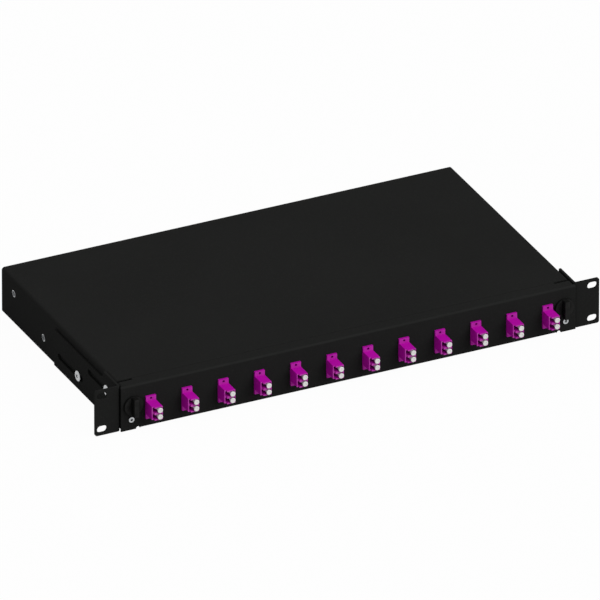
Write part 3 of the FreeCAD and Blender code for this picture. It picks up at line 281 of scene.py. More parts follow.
@functools.cache
def fine_grain() -> Tree:
    """Makes the group that gives the height of an even, fine surface grain.

    Returns:
        The group.
    """
    sheet = EffectSheet("fine_grain", "Height", "Pebble")
    pebbles = sheet.cells("SMOOTH_F1")
    height = sheet.add(
        "ShaderNodeMix",
        {"Factor": sheet.given["Pebble"], "A": sheet.cloud(detail=2.0), "B": pebbles.outputs[0]},
        data_type="FLOAT",
    )
    return sheet.close(height.outputs[0])


@functools.cache
def pigment_flecks() -> Tree:
    """Makes the group that marks a small share of tiny cells, as pigment grains show in a coating.

    Returns:
        The group.
    """
    sheet = EffectSheet("pigment_flecks", "Mask", "Share")
    chance = sheet.add("ShaderNodeSeparateColor", {"Color": sheet.cells("F1").outputs["Color"]})
    return sheet.close(sheet.maths("LESS_THAN", chance.outputs[0], sheet.given["Share"]))


@functools.cache
def drawn_lines() -> Tree:
    """Makes the group that gives the fine lines which rolling and drawing leave along Y.

    Returns:
        The group.
    """
    sheet = EffectSheet("drawn_lines", "Height", "Stretch")
    along = sheet.maths("DIVIDE", 1.0, sheet.given["Stretch"])
    shares = sheet.vector(X=1.0, Y=along, Z=1.0)
    squeezed = sheet.add("ShaderNodeVectorMath", {0: sheet.given["Vector"], 1: shares}, operation="MULTIPLY")
    return sheet.close(sheet.cloud(detail=3.0, place=squeezed.outputs[0]))


@functools.cache
def rubbed_ends() -> Tree:
    """Makes the group that paints a highlight, in patches, on faces across Y, more of it far out along Y.

    Returns:
        The group.
    """
    sheet = EffectSheet("rubbed_ends", "Colour", "Facing", "Colour", "Rubbed", "Reach")
    across = sheet.maths("ABSOLUTE", sheet.parts(sheet.given["Facing"])["Y"])
    outward = sheet.maths("ABSOLUTE", sheet.parts(sheet.given["Vector"])["Y"])
    wear = sheet.remap(outward, low=0.0, high=sheet.given["Reach"], end=sheet.cloud(detail=1.0))
    # Painted highlight: its share on faces across Y, in patches that grow far out along Y.
    share = sheet.remap(across, low=0.85, high=0.98, end=wear)
    return sheet.close(sheet.blend(share, sheet.given["Colour"], sheet.given["Rubbed"]))


@functools.cache
def worn_bends() -> Tree:
    """Makes the group that paints a highlight, in patches, on faces slanting between the axes, as on bends.

    Returns:
        The group.
    """
    sheet = EffectSheet("worn_bends", "Colour", "Facing", "Colour", "Worn")
    sizes = sheet.add("ShaderNodeVectorMath", {0: sheet.given["Facing"]}, operation="ABSOLUTE")
    parts = sheet.parts(sizes.outputs[0])
    squareness = sheet.maths("MAXIMUM", sheet.maths("MAXIMUM", parts["X"], parts["Y"]), parts["Z"])
    # Painted highlight on faces that slant between the axes.
    share = sheet.remap(squareness, low=0.998, high=0.93, end=sheet.patches(detail=2.0, least=0.6))
    return sheet.close(sheet.blend(share, sheet.given["Colour"], sheet.given["Worn"]))


@functools.cache
def crevice_grime() -> Tree:
    """Makes the group that paints shade into a colour in recesses and tight corners, by their ambient
    occlusion.

    Returns:
        The group.
    """
    sheet = EffectSheet("crevice_grime", "Colour", "Colour", "Grime", "Reach")
    openness = sheet.add(
        "ShaderNodeAmbientOcclusion", {"Distance": sheet.given["Reach"]}, samples=8, only_local=True
    )
    most = sheet.patches(detail=2.0, least=0.75)
    # Painted shade: the less open a spot, the more of the dark colour, in patches.
    cover = sheet.remap(openness.outputs["AO"], low=0.35, high=0.85, start=most, end=0.0)
    return sheet.close(sheet.blend(cover, sheet.given["Colour"], sheet.given["Grime"]))


class MaterialSheet(NodeSheet):
    """The nodes of one new material, with its Principled shader and Object coordinates at hand."""

    def __init__(self, name: str) -> None:
        """Makes the material and its shader.

        Args:
            name: The material's name.
        """
        self.material = bpy.data.materials.new(name)
        self.material.use_nodes = True
        super().__init__(self.material.node_tree)
        self.tree.nodes.clear()
        self.shader = self.add("ShaderNodeBsdfPrincipled")
        self.output = self.add("ShaderNodeOutputMaterial", {"Surface": self.shader.outputs[0]})
        coordinates = self.add("ShaderNodeTexCoord").outputs
        self.place = coordinates["Object"]
        self.facing = coordinates["Normal"]

    def effect(self, group: Tree, **values: object) -> Wire:
        """Places a shared effect on the material's Object coordinates.

        Args:
            group: The effect's node group.
            values: Values or sockets by the group's input names, in lower case.

        Returns:
            The effect's output.
        """
        inputs = {"Vector": self.place}
        inputs.update({name.capitalize(): value for name, value in values.items()})
        return self.add("ShaderNodeGroup", inputs, node_tree=group).outputs[0]

    def shade(self, inputs: dict[str, object]) -> None:
        """Feeds the shader's inputs by their names."""
        for name, value in inputs.items():
            self.feed(self.shader.inputs[name], value)

    def bump(self, height: Wire, depth: float, strength: float) -> None:
        """Raises the surface by a height pattern.

        Args:
            height: The pattern, from 0 to 1.
            depth: What 1 stands for, in metres.
            strength: How much of it shows.
        """
        node = self.add("ShaderNodeBump", {"Strength": strength, "Distance": depth, "Height": height})
        self.shade({"Normal": node.outputs[0]})

    def show(self, surface: Wire) -> None:
        """Puts a surface out of the material instead of its shader."""
        self.feed(self.output.inputs["Surface"], surface)


@dataclass(frozen=True)
class Finish:
    """Base of the finishes."""

    name: str
    colour: Colour
    roughness: float

    def dress(self, sheet: MaterialSheet) -> None:
        """Builds the finish's nodes on a new material's sheet."""
        raise NotImplementedError

    def drift(self, sheet: MaterialSheet, scale: float, amount: float) -> Wire:
        """Returns the colour with a drift of its own over the surface."""
        return sheet.effect(tone_drift(), colour=opaque(self.colour), scale=scale, amount=amount)

    def gloss(self, sheet: MaterialSheet, scale: float, spread: float) -> Wire:
        """Returns the roughness over the surface."""
        return sheet.effect(handled_gloss(), scale=scale, roughness=self.roughness, spread=spread)

    @functools.cache
    def material(self) -> bpy.types.Material:
        """Makes the finish's material, once, and hands it out.

        Returns:
            The material.
        """
        sheet = MaterialSheet(self.name)
        self.dress(sheet)
        return sheet.material


@dataclass(frozen=True)
class PowderCoat(Finish):
    """Baked powder coat on sheet steel: matt, with fine orange peel, pale pigment grains and a painted
    highlight on its bends.
    """

    fleck_colour: Colour
    worn_colour: Colour
    specular: float

    def dress(self, sheet: MaterialSheet) -> None:
        """Builds the coat's nodes.

        Args:
            sheet: The new material's sheet.
        """
        flecks = sheet.effect(pigment_flecks(), scale=2400.0, share=0.07)
        speckled = sheet.blend(flecks, self.drift(sheet, scale=9.0, amount=0.06), opaque(self.fleck_colour))
        # Painted highlight along the bends.
        worn = sheet.effect(
            worn_bends(), facing=sheet.facing, colour=speckled, worn=opaque(self.worn_colour), scale=120.0
        )
        gloss = self.gloss(sheet, scale=16.0, spread=0.05)
        sheet.shade({"Base Color": worn, "Roughness": gloss, "Specular IOR Level": self.specular})
        grain = sheet.effect(fine_grain(), scale=1300.0, pebble=0.35)
        sheet.bump(grain, depth=0.03 * MM, strength=0.35)


@dataclass(frozen=True)
class PlatedSteel(Finish):
    """Bare or zinc plated steel with drawing lines, uneven plating and painted shade in its recesses."""

    line_scale: float
    line_depth: float
    amount: float
    # Colour and reach of the painted shade in recesses.
    grime: Colour = (0.035, 0.034, 0.032)
    grime_reach: float = 1.5 * MM

    def dress(self, sheet: MaterialSheet) -> None:
        """Builds the metal's nodes.

        Args:
            sheet: The new material's sheet.
        """
        drift = self.drift(sheet, scale=220.0, amount=self.amount)
        # Painted shade in recesses and tight corners.
        recess_shaded = sheet.effect(
            crevice_grime(), colour=drift, grime=opaque(self.grime), scale=400.0, reach=self.grime_reach
        )
        gloss = self.gloss(sheet, scale=160.0, spread=0.08)
        sheet.shade({"Base Color": recess_shaded, "Metallic": 1.0, "Roughness": gloss})
        lines = sheet.effect(drawn_lines(), scale=self.line_scale, stretch=14.0)
        sheet.bump(lines, depth=self.line_depth, strength=0.3)


@dataclass(frozen=True)
class Moulding(Finish):
    """Injection moulded plastic or rubber with a fine spark-eroded grain."""

    grain_scale: float
    grain_depth: float
    amount: float
    specular: float

    def tone(self, sheet: MaterialSheet) -> Wire:
        """Returns the plastic's colour over the surface."""
        return self.drift(sheet, scale=60.0, amount=self.amount)

    def dress(self, sheet: MaterialSheet) -> None:
        """Builds the plastic's nodes.

        Args:
            sheet: The new material's sheet.
        """
        gloss = self.gloss(sheet, scale=90.0, spread=0.06)
        sheet.shade({"Base Color": self.tone(sheet), "Roughness": gloss, "Specular IOR Level": self.specular})
        grain = sheet.effect(fine_grain(), scale=self.grain_scale, pebble=0.2)
        sheet.bump(grain, depth=self.grain_depth, strength=0.3)


@dataclass(frozen=True)
class EndSheenMoulding(Moulding):
    """Moulded plastic with a painted highlight on its end faces, across Y, where they stand out."""

    rubbed: Colour
    patch_scale: float
    reach: float

    def tone(self, sheet: MaterialSheet) -> Wire:
        """Returns the plastic's colour over the surface, with a painted highlight on the end faces."""
        return sheet.effect(
            rubbed_ends(), facing=sheet.facing, colour=super().tone(sheet), rubbed=opaque(self.rubbed),
            scale=self.patch_scale, reach=self.reach,
        )


@dataclass(frozen=True)
class ClearSheet(Finish):
    """Clear moulded sheet that lets light through to what lies under it."""

    ior: float
    shadow_share: float

    def dress(self, sheet: MaterialSheet) -> None:
        """Builds the clear sheet's nodes.

        Args:
            sheet: The new material's sheet.
        """
        drift = self.drift(sheet, scale=12.0, amount=0.02)
        gloss = self.gloss(sheet, scale=40.0, spread=0.03)
        sheet.shade({"Base Color": drift, "Roughness": gloss, "Transmission Weight": 1.0, "IOR": self.ior})
        sheet.bump(sheet.effect(fine_grain(), scale=90.0, pebble=0.0), depth=0.05 * MM, strength=0.15)
        rays = sheet.add("ShaderNodeLightPath").outputs
        share = sheet.maths("MULTIPLY", rays["Is Shadow Ray"], self.shadow_share)
        passing = sheet.add("ShaderNodeBsdfTransparent")
        sheet.show(sheet.blend_shaders(share, sheet.shader, passing))


FINISHES: dict[Slot, Finish] = {
    # The coat's last colour is a painted highlight on its bends; the flecks are pigment.
    Slot.COAT: PowderCoat(
        "black_powder_coat", (0.0128, 0.0130, 0.0126), roughness=0.70, specular=0.006,
        fleck_colour=(0.0185, 0.0188, 0.0182), worn_colour=(0.0166, 0.0169, 0.0164),
    ),
    Slot.ZINC: PlatedSteel(
        "zinc_plate", (0.44, 0.45, 0.46), roughness=0.30, line_scale=900.0, line_depth=0.02 * MM, amount=0.05
    ),
    Slot.SLIDE: PlatedSteel(
        "drawn_zinc_steel", (0.60, 0.61, 0.61), roughness=0.34, line_scale=700.0, line_depth=0.03 * MM,
        amount=0.07,
    ),
    Slot.BALL: PlatedSteel(
        "polished_ball_steel", (0.72, 0.72, 0.73), roughness=0.09, line_scale=400.0, line_depth=0.002 * MM,
        amount=0.03,
    ),
    Slot.SPRING: PlatedSteel(
        "spring_strip", (0.56, 0.55, 0.52), roughness=0.30, line_scale=800.0, line_depth=0.02 * MM,
        amount=0.06,
    ),
    # The paler second colour is a painted highlight on the adapters' end faces.
    Slot.VIOLET: EndSheenMoulding(
        "violet_moulding", (0.41, 0.0025, 0.33), roughness=0.42, grain_scale=1500.0, grain_depth=0.02 * MM,
        amount=0.04, specular=0.10, rubbed=(0.54, 0.11, 0.45), patch_scale=190.0, reach=19.4 * MM,
    ),
    Slot.WHITE: Moulding(
        "white_cap_moulding", (0.70, 0.69, 0.68), roughness=0.45, grain_scale=1200.0, grain_depth=0.02 * MM,
        amount=0.02, specular=0.2,
    ),
    Slot.CERAMIC: Moulding(
        "zirconia", (0.83, 0.82, 0.78), roughness=0.18, grain_scale=2600.0, grain_depth=0.005 * MM,
        amount=0.02, specular=0.6,
    ),
    # The paler second colour is a painted highlight on the knobs' end faces; the darker base leaves the fin's
    # sides and the dish looking shaded.
    Slot.BLACK: EndSheenMoulding(
        "black_moulding", (0.0062, 0.0062, 0.0060), roughness=0.55, grain_scale=1100.0, grain_depth=0.03 * MM,
        amount=0.08, specular=0.02, rubbed=(0.0260, 0.0260, 0.0252), patch_scale=150.0, reach=9.0 * MM,
    ),
    Slot.RUBBER: Moulding(
        "black_rubber", (0.022, 0.022, 0.0225), roughness=0.70, grain_scale=900.0, grain_depth=0.04 * MM,
        amount=0.10, specular=0.25,
    ),
    Slot.GREY: Moulding(
        "grey_moulding", (0.42, 0.43, 0.44), roughness=0.46, grain_scale=1000.0, grain_depth=0.03 * MM,
        amount=0.04, specular=0.35,
    ),
    Slot.CLEAR: ClearSheet("clear_sheet", (0.96, 0.97, 0.97), roughness=0.05, ior=1.49, shadow_share=0.9),
}


def lathe(profile: Profile, segments: int, flute: Optional[Callable[[int, float], float]] = None) -> Shape:
    """Turns a profile round Z into a closed mesh.

    Args:
        profile: Radius and height pairs. A first and last radius of 0 close the ends on the axis, and
            otherwise the last pair joins the first, which makes a ring.
        segments: Number of steps round the axis.
        flute: Gives what is added to the radius of a pair, from the pair's index and the angle.

    Returns:
        The mesh, with its faces outwards.
    """
    shape = bmesh.new()
    rings = []
    for index, (radius, height) in enumerate(profile):
        if radius == 0.0:
            rings.append([shape.verts.new((0.0, 0.0, height))] * segments)
            continue
        ring = []
        for step in range(segments):
            angle = math.tau * step / segments
            reach = radius + (flute(index, angle) if flute else 0.0)
            ring.append(shape.verts.new((reach * math.cos(angle), reach * math.sin(angle), height)))
        rings.append(ring)
    pairs = list(zip(rings, rings[1:]))
    if profile[0][0] > 0.0:
        pairs.append((rings[-1], rings[0]))
    for lower, upper in pairs:
        for step in range(segments):
            after = (step + 1) % segments
            corners = [lower[step], lower[after], upper[after], upper[step]]
            shape.faces.new(list(dict.fromkeys(corners)))
    bmesh.ops.recalc_face_normals(shape, faces=shape.faces)
    return shape


def rounded(radius: float, height: float, edge: float, steps: int = 4) -> Profile:
    """Gives the profile of an outer edge that is rounded by a quarter arc.

    Args:
        radius: Radius of the side.
        height: Height of the top.
        edge: Radius of the rounding.
        steps: Number of chords in the arc.

    Returns:
        Radius and height pairs from the side to the top.
    """
    turns = [QUARTER * step / steps for step in range(steps + 1)]
    return [
        (radius - edge + edge * math.cos(turn), height - edge + edge * math.sin(turn)) for turn in turns
    ]


def mesh_of(name: str, shape: Shape, place: Matrix = Matrix.Identity(4)) -> bpy.types.Mesh:
    """Turns a bmesh into a mesh and frees it.

    Args:
        name: The mesh's name.
        shape: The bmesh.
        place: Where it goes.

    Returns:
        The mesh.
    """
    bmesh.ops.transform(shape, matrix=place, verts=shape.verts)
    mesh = bpy.data.meshes.new(name)
    shape.to_mesh(mesh)
    shape.free()
    return mesh


class GrowthSheet(NodeSheet):
    """A Geometry Nodes tree with named inputs, which ends in Realize Instances and Set Material."""

    def __init__(self, name: str, *inputs: str) -> None:
        """Makes the tree and its sockets.

        Args:
            name: The tree's name.
            inputs: The inputs' names, after Geometry and Finish.
        """
        super().__init__(bpy.data.node_groups.new(name, "GeometryNodeTree"))
        self.declare("INPUT", "Geometry", "Finish", *inputs)
        self.declare("OUTPUT", "Geometry")
        self.given = self.add("NodeGroupInput").outputs

    def thing(self, label: str) -> Wire:
        """Returns the geometry of the object that an input names."""
        return self.add("GeometryNodeObjectInfo", {"Object": self.given[label]}).outputs["Geometry"]

    def row(self, count: Wire, step: Wire, start: object = (0.0, 0.0, 0.0)) -> Wire:
        """Returns a row of points from a start, each a step after the one before."""
        inputs = {"Count": count, "Start Location": start, "Offset": step}
        return self.add("GeometryNodeMeshLine", inputs, mode="OFFSET").outputs[0]

    def copies(self, points: Wire, shape: Wire, **more: Wire) -> Wire:
        """Returns copies of a shape on points, turned by Rotation where it is given."""
        inputs = {"Points": points, "Instance": shape, **more}
        return self.add("GeometryNodeInstanceOnPoints", inputs).outputs[0]

    def turned_copies(self, shape: Wire) -> Wire:
        """Returns copies of a shape on the host's vertices, turned by their attribute turn."""
        turn = self.add("GeometryNodeInputNamedAttribute", {"Name": "turn"}, data_type="FLOAT_VECTOR")
        return self.copies(self.given["Geometry"], shape, Rotation=turn.outputs[0])

    def moved(self, shape: Wire, step: Wire) -> Wire:
        """Returns a shape moved by a step."""
        return self.add("GeometryNodeTransform", {"Geometry": shape, "Translation": step}).outputs[0]

    def gathered(self, kind: str, label: str, *parts: Wire, **settings: object) -> Wire:
        """Returns what a node makes of several parts, all linked to one of its inputs.

        Args:
            kind: The node's type name.
            label: The input's name.
            parts: The parts.
            settings: Properties of the node by name.

        Returns:
            The node's first output.
        """
        node = self.add(kind, **settings)
        for part in parts:
            self.feed(node.inputs[label], part)
        return node.outputs[0]

    def real(self, geometry: Wire) -> Wire:
        """Returns a geometry with its copies made real."""
        return self.add("GeometryNodeRealizeInstances", {"Geometry": geometry}).outputs[0]

    def close(self, geometry: Wire) -> Tree:
        """Ends the tree.

        Args:
            geometry: The geometry that it has made.

        Returns:
            The tree.
        """
        inputs = {"Geometry": self.real(geometry), "Material": self.given["Finish"]}
        self.add("NodeGroupOutput", {0: self.add("GeometryNodeSetMaterial", inputs).outputs[0]})
        return self.tree


@functools.cache
def copies_in_rows() -> Tree:
    """Makes the tree that sets its own geometry out in columns along X and rows along Z.

    Returns:
        The tree.
    """
    sheet = GrowthSheet(
        "copies_in_rows", "First", "Columns", "Column Pitch", "Rows", "Row Pitch", "Twist", "Seed"
    )
    given = sheet.given
    column = sheet.row(given["Rows"], sheet.vector(Z=given["Row Pitch"]))
    columns = sheet.row(given["Columns"], sheet.vector(X=given["Column Pitch"]), given["First"])
    spots = sheet.real(sheet.copies(columns, column))
    twist = sheet.add(
        "FunctionNodeRandomValue", {"Max": sheet.vector(Y=given["Twist"]), "Seed": given["Seed"]},
        data_type="FLOAT_VECTOR",
    )
    return sheet.close(sheet.copies(spots, given["Geometry"], Rotation=twist.outputs[0]))


@functools.cache
def driven_fasteners() -> Tree:
    """Makes the tree that cuts a drive recess into a head and sets copies on its host's vertices.

    Returns:
        The tree.
    """
    sheet = GrowthSheet("driven_fasteners", "Head", "Drive")
    cut = sheet.add(
        "GeometryNodeMeshBoolean",
        {"Mesh 1": sheet.thing("Head"), "Mesh 2": sheet.thing("Drive")},
        operation="DIFFERENCE",
        solver="EXACT",
    )
    return sheet.close(sheet.turned_copies(cut.outputs[0]))


@functools.cache
def thread_ridges() -> Tree:
    """Makes the tree that winds a thread's ridge and sets copies on its host's vertices.

    Returns:
        The tree.
    """
    sheet = GrowthSheet("thread_ridges", "Radius", "Length", "Turns", "Ridge")
    given = sheet.given
    helix = sheet.add(
        "GeometryNodeCurveSpiral",
        {"Resolution": 28, "Rotations": given["Turns"], "Start Radius": given["Radius"],
         "End Radius": given["Radius"], "Height": given["Length"]},
    )
    section = sheet.add(
        "GeometryNodeCurvePrimitiveCircle", {"Resolution": 4, "Radius": given["Ridge"]}, mode="RADIUS"
    )
    ridge = sheet.add(
        "GeometryNodeCurveToMesh",
        {"Curve": helix.outputs[0], "Profile Curve": section.outputs[0], "Fill Caps": True},
    )
    return sheet.close(sheet.turned_copies(ridge.outputs[0]))


@functools.cache
def knurled_rim() -> Tree:
    """Makes the tree that sets upright ribs round the rim of its own geometry, about Z.

    Returns:
        The tree.
    """
    sheet = GrowthSheet("knurled_rim", "Ribs", "Radius", "Height", "Middle", "Rib Width")
    given = sheet.given
    circle = sheet.add("GeometryNodeMeshCircle", {"Vertices": given["Ribs"], "Radius": given["Radius"]})
    raised = sheet.moved(circle.outputs[0], sheet.vector(Z=given["Middle"]))
    rib = sheet.add(
        "GeometryNodeMeshCylinder", {"Vertices": 6, "Radius": given["Rib Width"], "Depth": given["Height"]}
    )
    ribs = sheet.copies(raised, rib.outputs[0])
    return sheet.close(sheet.gathered("GeometryNodeJoinGeometry", "Geometry", given["Geometry"], ribs))


@functools.cache
def ribbed_grip() -> Tree:
    """Makes the tree that joins its own geometry with a grip fin along Y and ribs on the fin's sides.

    Returns:
        The tree.
    """
    sheet = GrowthSheet(
        "ribbed_grip", "Fin", "Side", "Ribs", "Rib Pitch", "Rib Radius", "Rib Length", "Middle"
    )
    given = sheet.given
    rib = sheet.add(
        "GeometryNodeMeshCylinder",
        {"Vertices": 10, "Radius": given["Rib Radius"], "Depth": given["Rib Length"]},
    )
    run = sheet.maths("MULTIPLY", sheet.maths("SUBTRACT", 1.0, given["Ribs"]), given["Rib Pitch"])
    start = sheet.vector(X=given["Side"], Y=sheet.maths("DIVIDE", run, 2.0), Z=given["Middle"])
    row = sheet.row(given["Ribs"], sheet.vector(Y=given["Rib Pitch"]), start)
    right = sheet.copies(row, rib.outputs[0])
    left = sheet.moved(right, sheet.vector(X=sheet.maths("MULTIPLY", given["Side"], -2.0)))
    ribs = sheet.real(sheet.gathered("GeometryNodeJoinGeometry", "Geometry", right, left))
    parts = (given["Geometry"], sheet.thing("Fin"), ribs)
    return sheet.close(sheet.gathered("GeometryNodeMeshBoolean", "Mesh 2", *parts, operation="UNION"))


def put_in_scene(name: str, mesh: bpy.types.Mesh) -> bpy.types.Object:
    """Puts a mesh into the scene as an object at the origin.

    Args:
        name: The object's name.
        mesh: The mesh.

    Returns:
        The object.
    """
    thing = bpy.data.objects.new(name, mesh)
    bpy.context.scene.collection.objects.link(thing)
    return thing


def grown(tree: Tree, host: bpy.types.Mesh, slot: Slot, **values: object) -> bpy.types.Mesh:
    """Runs a Geometry Nodes tree on a host and keeps the result as a plain mesh.

    Args:
        tree: The tree.
        host: The mesh that its Geometry input gets.
        slot: The slot whose finish the result gets.
        values: Values by the tree's input names, in lower case with underscores.

    Returns:
        The mesh that the tree made.
    """
    carrier = put_in_scene("carrier", host)
    modifier = carrier.modifiers.new(tree.name, "NODES")
    modifier.node_group = tree
    sockets = {
        item.name.lower().replace(" ", "_"): item.identifier
        for item in tree.interface.items_tree
        if item.in_out == "INPUT"
    }
    modifier[sockets["finish"]] = FINISHES[slot].material()
    for name, value in values.items():
        modifier[sockets[name]] = value
    graph = bpy.context.evaluated_depsgraph_get()
    mesh = bpy.data.meshes.new_from_object(carrier.evaluated_get(graph), depsgraph=graph)
    bpy.data.objects.remove(carrier)
    return mesh


def spot_mesh(spots: Sequence[tuple[Point, Point]]) -> bpy.types.Mesh:
    """Makes a mesh of bare vertices, on which a tree sets copies.

    Args:
        spots: Place and XYZ rotation of each copy.

    Returns:
        The mesh, with the rotations in its attribute turn.
    """
    mesh = bpy.data.meshes.new("spots")
    mesh.from_pydata([place for place, _ in spots], [], [])
    turn = mesh.attributes.new("turn", "FLOAT_VECTOR", "POINT")
    for index, (_, angles) in enumerate(spots):
        turn.data[index].vector = angles
    return mesh


def turn_towards(axis: Point, spin: float) -> Point:
    """Gives the rotation that points a piece's Z along an axis.

    Args:
        axis: The axis.
        spin: Angle that the piece is turned by about its own Z.

    Returns:
        The XYZ rotation.
    """
    aim = Vector(axis).to_track_quat("Z", "Y")
    return tuple((aim @ Quaternion((0.0, 0.0, 1.0), spin)).to_euler())


def settle(name: str, mesh: bpy.types.Mesh, slot: Slot, body: Body, replaced: Sequence[str] = ()) -> None:
    """Puts a finished piece on its body with its finish.

    Args:
        name: The piece's name.
        mesh: Its mesh, already in place.
        slot: The record's slot that it takes its finish from.
        body: The body that it rides on.
        replaced: CAD nodes that it stands for.
    """
    mesh.name = name
    mesh.materials.clear()
    mesh.materials.append(FINISHES[slot].material())
    mesh.polygons.foreach_set("use_smooth", [True] * len(mesh.polygons))
    mesh.polygons.foreach_set("material_index", [0] * len(mesh.polygons))
    mesh.set_sharp_from_angle(angle=SMOOTH_ANGLE)
    piece = put_in_scene(name, mesh)
    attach(piece, body.value)
    if replaced:
        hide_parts(*replaced)
    log.info("%s: %d faces on %s", name, len(mesh.polygons), body.value)


def dress_cad_nodes() -> None:
    """Gives every CAD node the finish of its slot."""
    for row in frame["record"]["subparts"]:
        materials = frame["nodes"][row["node"]].data.materials
        materials.clear()
        materials.append(FINISHES[Slot(row["material_slot"])].material())
    log.info("dressed %d nodes", len(frame["nodes"]))


@dataclass
class DustCaps:
    """Push-in caps in the adapters' ports: a thin notched head with a dished tip on a bored stem."""

    radius: float = 2.38 * MM
    head: float = 0.7 * MM
    edge: float = 0.25 * MM
    back_edge: float = 0.1 * MM
    notch_count: int = 14
    notch_depth: float = 0.07 * MM
    dish_radius: float = 1.3 * MM
    dish_floor_share: float = 0.85
    dish_depth: float = 0.14 * MM
    stem_radius: float = 1.65 * MM
    bore: float = 1.3 * MM
    bore_depth: float = 3.0 * MM
    segments: int = 56
    columns: int = 12
    rows: int = 2

    def cap(self, length: float) -> Shape:
        """Makes one cap with its inner end at the origin and its tip up.

        Args:
            length: Its length from end to end.

        Returns:
            The mesh.
        """
        neck = length - self.head
        stem = [
            (0.0, self.bore_depth),
            (self.bore, self.bore_depth),
            (self.bore, 0.0),
            (self.stem_radius - self.back_edge, 0.0),
            (self.stem_radius, self.back_edge),
            (self.stem_radius, neck),
            (self.radius - self.back_edge, neck),
        ]
        side = [(self.radius, neck + self.back_edge), *rounded(self.radius, length, self.edge)]
        tip = [
            (self.dish_radius, length),
            (self.dish_radius * self.dish_floor_share, length - self.dish_depth),
            (0.0, length - self.dish_depth),
        ]
        notched = (len(stem), len(stem) + 1)

        def notch(index: int, angle: float) -> float:
            """Returns how far a notch goes into the head's side at an angle, as a negative length."""
            depth = max(0.0, math.cos(self.notch_count * angle))
            return -self.notch_depth * depth if index in notched else 0.0

        return lathe(stem + side + tip, self.segments, notch)

    def build(self, node: str, turn: float, seed: int) -> None:
        """Makes the caps of one side of the panel in place of a CAD node.

        Args:
            node: The CAD node.
            turn: Angle about X that points a cap's tip out of the port.
            seed: Seed of the caps' random twist.
        """
        low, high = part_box(node)
        start = high.y if turn > 0 else low.y
        mesh = grown(
            copies_in_rows(),
            mesh_of("cap", self.cap(high.y - low.y), Matrix.Rotation(turn, 4, "X")),
            Slot.WHITE,
            first=(low.x + self.radius, start, low.z + self.radius),
            columns=self.columns,
            column_pitch=(high.x - low.x - 2 * self.radius) / (self.columns - 1),
            rows=self.rows,
            row_pitch=high.z - low.z - 2 * self.radius,
            twist=math.tau,
            seed=seed,
        )
        settle(node.replace("caps", "cap_rows"), mesh, Slot.WHITE, Body.DRAWER, [node])


@dataclass
class ThumbNut:
    """Knurled nut that holds the cassette's lid, and the stud's thread above it."""

    shoulder: float = 1.3 * MM
    knee_in_share: float = 0.6
    knee_drop_share: float = 0.8
    top_in_share: float = 0.9
    edge: float = 0.6 * MM
    bore: float = 2.7 * MM
    segments: int = 64
    ribs: int = 40
    rib_width: float = 0.42 * MM
    thread_turns: float = 2.2
    thread_ridge: float = 0.16 * MM
    thread_sink: float = 1.0 * MM
    thread_end_gap: float = 0.4 * MM

    def build_nut(self) -> None:
        """Makes the nut in place of its CAD node."""
        low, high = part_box("thumb_nut")
        middle = (low + high) / 2
        height = high.z - low.z
        body = (high.x - low.x) / 2 - self.rib_width
        profile = [
            (self.bore, 0.0),
            (body - self.edge, 0.0),
            (body, self.edge),
            (body, height - self.shoulder),
            (body - self.shoulder * self.knee_in_share, height - self.shoulder * self.knee_drop_share),
            (body - self.shoulder * self.top_in_share, height),
            (self.bore + self.edge / 2, height),
            (self.bore, height - self.edge / 2),
        ]
        rib_height = height - self.shoulder - 2 * self.edge
        mesh = grown(
            knurled_rim(), mesh_of("nut", lathe(profile, self.segments)), Slot.ZINC,
            ribs=self.ribs,
            radius=body,
            height=rib_height,
            middle=self.edge + rib_height / 2,
            rib_width=self.rib_width,
        )
        mesh.transform(Matrix.Translation((middle.x, middle.y, low.z)))
        settle("knurled_thumb_nut", mesh, Slot.ZINC, Body.DRAWER, ["thumb_nut"])

    def build_thread(self) -> None:
        """Winds the thread on the stud, from inside the nut to just below the stud's end."""
        nut_low, nut_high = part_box("thumb_nut")
        low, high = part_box("cassette_stud")
        middle = (nut_low + nut_high) / 2
        start = nut_high.z - self.thread_sink
        mesh = grown(
            thread_ridges(), spot_mesh([((middle.x, middle.y, start), (0.0, 0.0, 0.0))]), Slot.ZINC,
            radius=(high.x - low.x) / 2,
            length=high.z - start - self.thread_end_gap,
            turns=self.thread_turns,
            ridge=self.thread_ridge,
        )
        settle("stud_thread", mesh, Slot.ZINC, Body.DRAWER)

    def build(self) -> None:
        """Makes the nut and the thread."""
        self.build_nut()
        self.build_thread()


@dataclass
class PressNuts:
    """Threads in the open press nuts of the housing's side walls."""

    places: Sequence[tuple[float, float]] = ((154.0 * MM, -7.2 * MM), (214.0 * MM, 6.8 * MM))
    bore: float = 2.55 * MM
    turns: float = 3.0
    ridge: float = 0.22 * MM
    inset: float = 0.25 * MM
    length: float = 2.4 * MM

    def build(self) -> None:
        """Winds a thread in each nut that has no screw."""
        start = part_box("press_nuts")[1].x - self.inset - self.length
        spots = [
            ((side * start, y, z), turn_towards((side, 0.0, 0.0), 0.0))
            for y, z in self.places
            for side in SIDES
        ]
        mesh = grown(
            thread_ridges(), spot_mesh(spots), Slot.ZINC,
            radius=self.bore,
            length=self.length,
            turns=self.turns,
            ridge=self.ridge,
        )
        settle("press_nut_threads", mesh, Slot.ZINC, Body.HOUSING)


